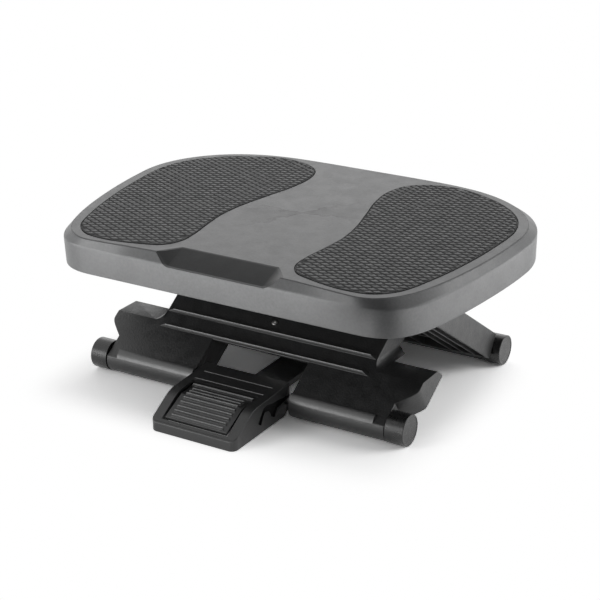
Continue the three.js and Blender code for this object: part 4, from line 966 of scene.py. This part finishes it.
tread = {
    "first": 85.6, "pitch": 5.7, "count": 8, "half": 29.3, "wide": 1.3, "high": 1.86, "foot": 0.3, "round": 0.4,
    "barPast": 41.4, "barHalf": 34.2, "barWide": 2.2, "drop": 2.4, "front": (88.4, 14.8),
}


def buildTreadRibs():
    # the ribs' rounded backs in near-white plastic: a painted highlight along each rib
    knee = (pedal["knee"][0], pedal["knee"][1] - tread["drop"])
    fall = (knee[1] - tread["front"][1]) / (tread["front"][0] - knee[0])
    slope = math.atan(fall)
    step = tread["pitch"] * math.cos(slope)
    rows = [(tread["first"] - i * step, tread["half"], tread["wide"]) for i in range(tread["count"])]
    rows.append((tread["barPast"], tread["barHalf"], tread["barWide"]))
    ribs = []
    for past, half, wide in rows:
        top = knee[1] - (past - knee[0]) * fall if past > knee[0] else pedalTopAt(past) - tread["drop"]
        rib = pedalBlock(half, past - wide / 2, past + wide / 2, top - tread["foot"], top + tread["high"])
        ribs.append(edgeSoftened(rib, tread["round"] * mm, 4))
    return fitted(joinedUp("treadRibs", ribs), "tread", paintedHighlight, "pedal_plastic")


def buildPedalLines():
    # two fine raised lines across the housing's top, near-white: painted highlights
    bars = []
    for past in pedal["lines"]:
        top, wide = pedalTopAt(past), pedal["lineWide"] / 2
        bars.append(pedalBlock(pedal["lineHalf"], past - wide, past + wide, top - 0.3, top + pedal["lineHigh"]))
    return fitted(joinedUp("pedalLines", bars), "pedal", paintedHighlight, "pedal_plastic")


pedalHousing = buildPedalHousing()
buildTreadRibs()
buildPedalLines()
print("footrest: pedal,", len(pedalHousing.data.polygons), "faces")

# end caps in mm
caps = {"edge": 0.9, "plug": 8.5, "plugLength": 12, "dish": 0.35, "dishEdge": 1.6}
capBodies = {
    "front_cap_left": "front_leg", "front_cap_right": "front_leg",
    "rear_cap_left": "rear_leg", "rear_cap_right": "rear_leg",
}


def buildCap(node, body):
    y, z, lowX, highX, radius = axisOf(node)
    side = -1 if lowX < 0 else 1
    outer = highX if side > 0 else -lowX
    inner = (lowX if side > 0 else -highX) + caps["plugLength"] * mm
    start, plug, sunk = inner - caps["plugLength"] * mm, caps["plug"] * mm, outer - caps["dish"] * mm
    profile = softProfile([
        (start, 0), (start, plug), (inner, plug), (inner, radius), (outer, radius),
        (outer, radius - caps["dishEdge"] * mm), (sunk, radius - (caps["dishEdge"] + 0.5) * mm), (sunk, 0),
    ], [0, 0.6 * mm, 0.3 * mm, 0.4 * mm, caps["edge"] * mm, 0.2 * mm, 0.2 * mm, 0], 5)
    end, _, sideName = node.split("_")
    piece = turned(end + "Cap" + sideName.title(), [(side * x, r) for x, r in profile], y, z, 72)
    smoothed(piece, 40)
    return fitted(piece, body, capRubber, "cap_rubber", node)


endCaps = [buildCap(node, body) for node, body in capBodies.items()]
print("footrest: caps")

# steel rods and pins: node and body
rods = {
    "tiltAxle": ("tilt_axle", "carrier"), "hingeRod": ("height_hinge_rod", "carrier"),
    "footAxle": ("foot_axle", "front_leg"), "slideRod": ("slide_rod", "rear_leg"),
    "strutPin": ("strut_pin", "rear_leg"), "treadPin": ("tread_pin", "pedal"),
}


def buildRod(name, node, body):
    y, z, lowX, highX, radius = axisOf(node)
    chamfer = 0.6 * mm
    profile = softProfile([(lowX, 0), (lowX, radius - chamfer), (lowX + chamfer, radius),
                           (highX - chamfer, radius), (highX, radius - chamfer), (highX, 0)], 0.2 * mm)
    piece = turned(name, profile, y, z)
    smoothed(piece, 40)
    return fitted(piece, body, turnedSteel, "steel", node)


for name, (node, body) in rods.items():
    buildRod(name, node, body)

# acetal washers: node, body and bore in mm
collars = {
    "frictionWasherLeft": ("friction_washer_left", "tray", 4.8),
    "frictionWasherRight": ("friction_washer_right", "tray", 4.8),
    "pivotWasherLeft": ("pivot_washer_left", "front_leg", 5.3),
    "pivotWasherRight": ("pivot_washer_right", "front_leg", 5.3),
}


def buildCollar(name, node, body, bore):
    y, z, lowX, highX, radius = axisOf(node)
    start = (lowX, (bore + radius / mm) / 2 * mm)
    corners = [start, (lowX, radius), (highX, radius), (highX, bore * mm), (lowX, bore * mm), start]
    profile = softProfile(corners, 0.35 * mm)
    piece = turned(name, profile[:-1], y, z, closedLoop=True)
    smoothed(piece, 40)
    return fitted(piece, body, acetal, "acetal", node)


for name, facts in collars.items():
    buildCollar(name, *facts)


bushForm = {"bore": 4.3, "flange": 1.6}


def buildBush(node, name):
    # barrel through the carrier's slot with a flange on its inner end
    y, z, lowX, highX, radius = axisOf(node)
    side = -1 if lowX < 0 else 1
    near, far = (lowX, highX) if side > 0 else (-highX, -lowX)
    bore, flange = bushForm["bore"] * mm, bushForm["flange"] * mm
    start, barrel = (near, (bore + radius) / 2), radius - flange
    profile = softProfile([start, (near, bore), (far, bore), (far, barrel), (near + flange, barrel),
                           (near + flange, radius), (near, radius), start], 0.3 * mm)
    piece = turned(name, [(side * x, r) for x, r in profile[:-1]], y, z, closedLoop=True)
    smoothed(piece, 40)
    return fitted(piece, "rear_leg", acetal, "acetal", node)


buildBush("slide_bush_left", "slideBushLeft")
buildBush("slide_bush_right", "slideBushRight")

# push-on clips: node, body and shaft radius in mm
clips = {
    "tiltClipLeft": ("tilt_axle_clip_left", "carrier", 4.5),
    "tiltClipRight": ("tilt_axle_clip_right", "carrier", 4.5),
    "hingeClipLeft": ("height_hinge_clip_left", "carrier", 4),
    "hingeClipRight": ("height_hinge_clip_right", "carrier", 4),
    "pivotClipLeft": ("pivot_clip_left", "front_leg", 5),
    "pivotClipRight": ("pivot_clip_right", "front_leg", 5),
    "slideClipLeft": ("slide_rod_clip_left", "rear_leg", 4),
    "slideClipRight": ("slide_rod_clip_right", "rear_leg", 4),
}
clipForm = {"teeth": 8, "slotShare": 0.2, "sheet": 0.55, "dish": 1.1, "rim": 1.2, "slotDepth": 1.6}


def buildClip(name, node, body, shaft):
    # push-on nut of spring steel: a flat rim and a dished middle cut into teeth
    y, z, lowX, highX, radius = axisOf(node)
    side = -1 if lowX < 0 else 1
    near = lowX if side > 0 else highX
    steps = clipForm["teeth"] * 10
    verts, faces = [], []
    for k in range(steps):
        angle = 2 * math.pi * k / steps
        share = (k % 10) / 10
        inSlot = share < clipForm["slotShare"] or share > 1 - 0.05
        bore = (shaft + 0.35 + (clipForm["slotDepth"] if inSlot else 0)) * mm
        ring = [(0, radius), (0, radius - clipForm["rim"] * mm), (clipForm["dish"] * mm, bore)]
        lip = clipForm["sheet"] * mm
        points = [(x, r) for x, r in ring] + [(x + lip, r) for x, r in reversed(ring)]
        for x, r in points:
            verts.append(Vector((near + side * x, y + r * math.cos(angle), z + r * math.sin(angle))))
    for k in range(steps):
        a, b = k * 6, ((k + 1) % steps) * 6
        for i in range(6):
            j = (i + 1) % 6
            faces.append((a + i, a + j, b + j, b + i))
    piece = newPiece(name, verts, faces)
    faceOutward(piece)
    smoothed(piece, 30)
    return fitted(piece, body, turnedSteel, "steel", node)


for name, facts in clips.items():
    buildClip(name, *facts)


def buildPivotPin(node, name):
    y, z, lowX, highX, radius = axisOf(node)
    side = -1 if lowX < 0 else 1
    near, far = (lowX, highX) if side > 0 else (-highX, -lowX)
    shank, head, chamfer = 5 * mm, 2.5 * mm, 0.7 * mm
    profile = softProfile([(near, 0), (near, radius), (near + head, radius), (near + head, shank),
                           (far - chamfer, shank), (far, shank - chamfer), (far, 0)], 0.5 * mm, 4)
    piece = turned(name, [(side * x, r) for x, r in profile], y, z)
    smoothed(piece, 40)
    return fitted(piece, "front_leg", turnedSteel, "steel", node)


buildPivotPin("pivot_pin_left", "pivotPinLeft")
buildPivotPin("pivot_pin_right", "pivotPinRight")

screwForm = {"crossHalf": 0.52, "crossWide": 0.45, "crossDeep": 1.0, "thread": 0.25, "pitch": 1.3}


def buildScrew(name, place, node, body, headRadius, headHeight, shankRadius, length):
    # pan head with a cross recess; its axis is Z of place, the head's seat at zero and the head above
    s = screwForm
    dome = softProfile([(-length, 0), (-length + 0.8, shankRadius - s["thread"])], 0)
    z = -length + 1.2
    while z < -s["pitch"]:
        dome += [(z, shankRadius - s["thread"]), (z + s["pitch"] * 0.35, shankRadius),
                 (z + s["pitch"] * 0.7, shankRadius - s["thread"])]
        z += s["pitch"]
    dome += [(-0.3, shankRadius - s["thread"] / 2), (0, shankRadius)]
    dome += softProfile([(0, headRadius * 0.7), (0, headRadius), (headHeight * 0.55, headRadius),
                         (headHeight, headRadius * 0.55), (headHeight, 0)], headHeight * 0.4, 4)
    piece = turned(name, [(x * mm, r * mm) for x, r in dome], 0, 0, 36)
    for turnBy in (0, math.pi / 2):
        low = Vector((headHeight - s["crossDeep"], -headRadius * s["crossHalf"], -s["crossWide"])) * mm
        high = Vector((headHeight + 1, headRadius * s["crossHalf"], s["crossWide"])) * mm
        combined(piece, blockPiece("cross", low, high, Matrix.Rotation(turnBy, 4, "X")), "DIFFERENCE")
    turn = place @ Matrix(((0, 0, 1, 0), (0, 1, 0, 0), (1, 0, 0, 0), (0, 0, 0, 1)))
    piece.data.transform(turn)
    faceOutward(piece)
    smoothed(piece, 35)
    return fitted(piece, body, turnedSteel, "steel", node)


# screw heads and shanks in mm: head radius, head height, shank radius, shank length
legScrew = {"run": 73, "seat": 12.8, "form": (3, 1.1, 1.9, 7.2)}
bracketScrew = {"seat": -7.8, "form": (4, 2.4, 1.9, 4.8)}
legSeat = legAxes @ Matrix.Translation((0, legScrew["run"] * mm, legScrew["seat"] * mm))
buildScrew("legScrew", legSeat, "leg_screw", "front_leg", *legScrew["form"])
for sideName in ("left", "right"):
    for endName in ("front", "back"):
        node = f"bracket_screw_{sideName}_{endName}"
        low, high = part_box(node)
        middle = trayAxes.inverted() @ ((low + high) / 2)
        seat = Matrix.Translation((middle.x, middle.y, bracketScrew["seat"] * mm))
        place = trayAxes @ seat @ Matrix.Rotation(math.pi, 4, "X")
        name = "bracketScrew" + sideName.title() + endName.title()
        buildScrew(name, place, node, "tray", *bracketScrew["form"])

spring = {"turns": 5, "wire": 0.65, "radius": 4.4, "sides": 10}  # mm


def sweptWire(name, path, radius, sides):
    verts, faces = [], []
    normal = None
    for i, p in enumerate(path):
        along = (path[min(i + 1, len(path) - 1)] - path[max(i - 1, 0)]).normalized()
        if normal is None:
            normal = along.orthogonal().normalized()
        normal = (normal - along * normal.dot(along)).normalized()
        other = along.cross(normal)
        for k in range(sides):
            angle = 2 * math.pi * k / sides
            verts.append(p + normal * math.cos(angle) * radius + other * math.sin(angle) * radius)
    for i in range(len(path) - 1):
        for k in range(sides):
            n = (k + 1) % sides
            faces.append((i * sides + k, i * sides + n, (i + 1) * sides + n, (i + 1) * sides + k))
    faces.append(tuple(range(sides - 1, -1, -1)))
    faces.append(tuple((len(path) - 1) * sides + k for k in range(sides)))
    piece = newPiece(name, verts, faces)
    faceOutward(piece)
    return piece


def buildSpring():
    low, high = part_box("tread_spring")
    y, z, _, _, _ = axisOf("tread_pin")
    start = low.x + spring["wire"] * mm
    run = (high.x - low.x) - 2 * spring["wire"] * mm
    path, steps, radius = [], spring["turns"] * 28, spring["radius"] * mm
    for i in range(steps + 1):
        t = i / steps
        angle = t * spring["turns"] * 2 * math.pi
        path.append(Vector((start + run * t, y + radius * math.cos(angle), z + radius * math.sin(angle))))
    piece = sweptWire("treadSpring", path, spring["wire"] * mm, spring["sides"])
    smoothed(piece, 60)
    return fitted(piece, "pedal", turnedSteel, "steel", "tread_spring")


buildSpring()
print("footrest: hardware")

# camera: turned to the right and up in degrees, distance in metres, lens in mm, aim from the foot axis
view = {
    "azimuth": 31.437, "height": 22.252, "distance": 1.643985, "roll": -0.010651, "focal": 97.005,
    "aim": (0.00178, 0.09941, 0.07515),
}


def facing(azimuth, height):
    # the way out to a place round the object
    a, e = math.radians(azimuth), math.radians(height)
    return Vector((math.sin(a) * math.cos(e), -math.cos(a) * math.cos(e), math.sin(e)))


def levelAcross(azimuth):
    return Vector((math.cos(math.radians(azimuth)), math.sin(math.radians(azimuth)), 0))


def buildCamera():
    back, right = facing(view["azimuth"], view["height"]), levelAcross(view["azimuth"])
    up = back.cross(right)
    tilt = view["roll"]
    across = right * math.cos(tilt) + up * math.sin(tilt)
    upward = up * math.cos(tilt) - right * math.sin(tilt)
    lens = bpy.data.cameras.new("photoCamera")
    lens.sensor_width = 36
    lens.lens = view["focal"]
    lens.clip_end = 50
    camera = bpy.data.objects.new("photoCamera", lens)
    bpy.context.scene.collection.objects.link(camera)
    turn = Matrix((across, upward, back)).transposed().to_4x4()
    aim = Vector(view["aim"]) + Vector((0, footY, 0))
    camera.matrix_world = Matrix.Translation(aim + back * view["distance"]) @ turn
    bpy.context.scene.camera = camera


buildCamera()

lamps = {
    "rimBack": {"azimuth": 211, "height": 18, "away": 2.2, "size": (2.4, 0.9), "power": 4.6},
    "softLeft": {"azimuth": -32, "height": 14, "away": 2.0, "size": (0.7, 0.7), "power": 6.6},
    "softRight": {"azimuth": 116, "height": 20, "away": 2.0, "size": (1.0, 0.8), "power": 11.5},
    "lowLeft": {"at": (-0.55, -0.86, 0.004), "size": (1.5, 1.0), "power": 26},
    "lowRight": {"at": (0.8, 0.27, 0.004), "size": (0.8, 1.2), "power": 8.0},
}


def buildLamp(name, facts):
    # the low ones lie on the floor and face up, the others face the middle of the object
    data = bpy.data.lights.new(name, "AREA")
    data.shape = "RECTANGLE"
    data.size, data.size_y = facts["size"]
    data.energy = facts["power"]
    lamp = bpy.data.objects.new(name, data)
    bpy.context.scene.collection.objects.link(lamp)
    lamp.visible_camera = False
    if "at" in facts:
        lamp.matrix_world = Matrix.Translation(facts["at"]) @ Matrix.Rotation(math.pi, 4, "X")
        return
    back = facing(facts["azimuth"], facts["height"])
    turn = back.to_track_quat("Z", "Y").to_matrix().to_4x4()
    lamp.matrix_world = Matrix.Translation(Vector((0, 0, 0.1)) + back * facts["away"]) @ turn


for name, facts in lamps.items():
    buildLamp(name, facts)

cards = {
    "cardAhead": {"at": (0.166, -0.15, 0.18), "turn": 31, "rise": 0, "away": 0.13, "half": (0.085, 0.12)},
    "cardBeside": {"at": (0.166, -0.15, 0.15), "turn": -22, "rise": 0, "away": 0.08, "half": (0.032, 0.05)},
    "cardAbove": {"at": (0, 0, 0.15), "turn": 28, "rise": 50, "away": 0.9, "half": (0.45, 0.26)},
}


def buildCard(name, facts):
    # black card that the camera doesn't see: the front right corner of the tray mirrors it as a dark band
    way = facing(facts["turn"], facts["rise"])
    across = levelAcross(facts["turn"]) * facts["half"][0]
    up = way.cross(across).normalized() * facts["half"][1]
    middle = Vector(facts["at"]) + way * facts["away"]
    corners = [middle - across - up, middle + across - up, middle + across + up, middle - across + up]
    card = newPiece(name, corners, [(0, 1, 2, 3)])
    card.data.materials.append(gapShade)
    card.visible_camera = False


for name, facts in cards.items():
    buildCard(name, facts)

surround = {"soft": 0.38, "gloss": 1.1, "seen": 1.0}


def buildSurround():
    world = bpy.data.worlds.new("paleSurround")
    bpy.context.scene.world = world
    world.use_nodes = True
    tree = world.node_tree
    tree.nodes.clear()
    out = tree.nodes.new("ShaderNodeOutputWorld")
    ray = tree.nodes.new("ShaderNodeLightPath")
    picked = None
    for key, rayName in (("soft", None), ("gloss", "Is Glossy Ray"), ("seen", "Is Camera Ray")):
        glow = tree.nodes.new("ShaderNodeBackground")
        glow.inputs["Color"].default_value = (1, 1, 1, 1)
        glow.inputs["Strength"].default_value = surround[key]
        if picked is None:
            picked = glow
            continue
        pick = tree.nodes.new("ShaderNodeMixShader")
        tree.links.new(ray.outputs[rayName], pick.inputs[0])
        tree.links.new(picked.outputs[0], pick.inputs[1])
        tree.links.new(glow.outputs[0], pick.inputs[2])
        picked = pick
    tree.links.new(picked.outputs[0], out.inputs[0])


buildSurround()

floor = {
    "radius": 4.0, "grey": 236, "rough": 0.6, "gain": 2.5,
    "half": (0.17, 0.1425), "middle": (0, 0.004), "fade": 0.06,
}


def buildFloor():
    form = bmesh.new()
    bmesh.ops.create_circle(form, cap_ends=True, segments=96, radius=floor["radius"])
    mesh = bpy.data.meshes.new("floor")
    form.to_mesh(mesh)
    form.free()
    piece = bpy.data.objects.new("floor", mesh)
    bpy.context.scene.collection.objects.link(piece)
    w = Wiring("paleFloor")
    cloud = w.noise(0.4, detail=2)
    tone = w.ramp(cloud, 0, 0, 1, 0.3, 0.7)
    colour = w.blend(tone, 0, paint(floor["grey"] - 1), paint(floor["grey"] + 1))
    w.join(colour, 2, w.shader, "Base Color")
    w.shader.inputs["Roughness"].default_value = floor["rough"]
    w.shader.inputs["Specular IOR Level"].default_value = 0.1
    # what the camera sees: the shadow near the feet on white, out to plain white a hand's width away
    ray = w.add("ShaderNodeLightPath")
    shade = w.add("ShaderNodeBsdfDiffuse")
    shade.inputs["Color"].default_value = (floor["gain"], floor["gain"], floor["gain"], 1)
    shift = w.add("ShaderNodeVectorMath", operation="SUBTRACT")
    shift.inputs[1].default_value = (*floor["middle"], 0)
    w.join(w.place, "Object", shift, 0)
    size = w.add("ShaderNodeVectorMath", operation="ABSOLUTE")
    w.join(shift, 0, size, 0)
    past = w.add("ShaderNodeVectorMath", operation="SUBTRACT")
    past.inputs[1].default_value = (*floor["half"], 0)
    w.join(size, 0, past, 0)
    outside = w.add("ShaderNodeVectorMath", operation="MAXIMUM")
    outside.inputs[1].default_value = (0, 0, 0)
    w.join(past, 0, outside, 0)
    away = w.add("ShaderNodeVectorMath", operation="LENGTH")
    w.join(outside, 0, away, 0)
    fade = w.ramp(away, "Value", 0, 1, 0, floor["fade"])
    fade.interpolation_type = "SMOOTHSTEP"
    white = w.add("ShaderNodeEmission")
    seen = w.add("ShaderNodeMixShader")
    w.join(fade, 0, seen, 0)
    w.join(shade, 0, seen, 1)
    w.join(white, 0, seen, 2)
    pick = w.add("ShaderNodeMixShader")
    either = w.add("ShaderNodeMath", operation="MAXIMUM")
    w.join(ray, "Is Camera Ray", either, 0)
    w.join(ray, "Is Glossy Ray", either, 1)
    w.join(either, 0, pick, 0)
    w.join(w.shader, 0, pick, 1)
    w.join(seen, 0, pick, 2)
    w.join(pick, 0, w.output, 0)
    mesh.materials.append(w.material)


buildFloor()
bpy.context.scene.view_settings.view_transform = "Standard"
print("footrest: camera, light and floor")
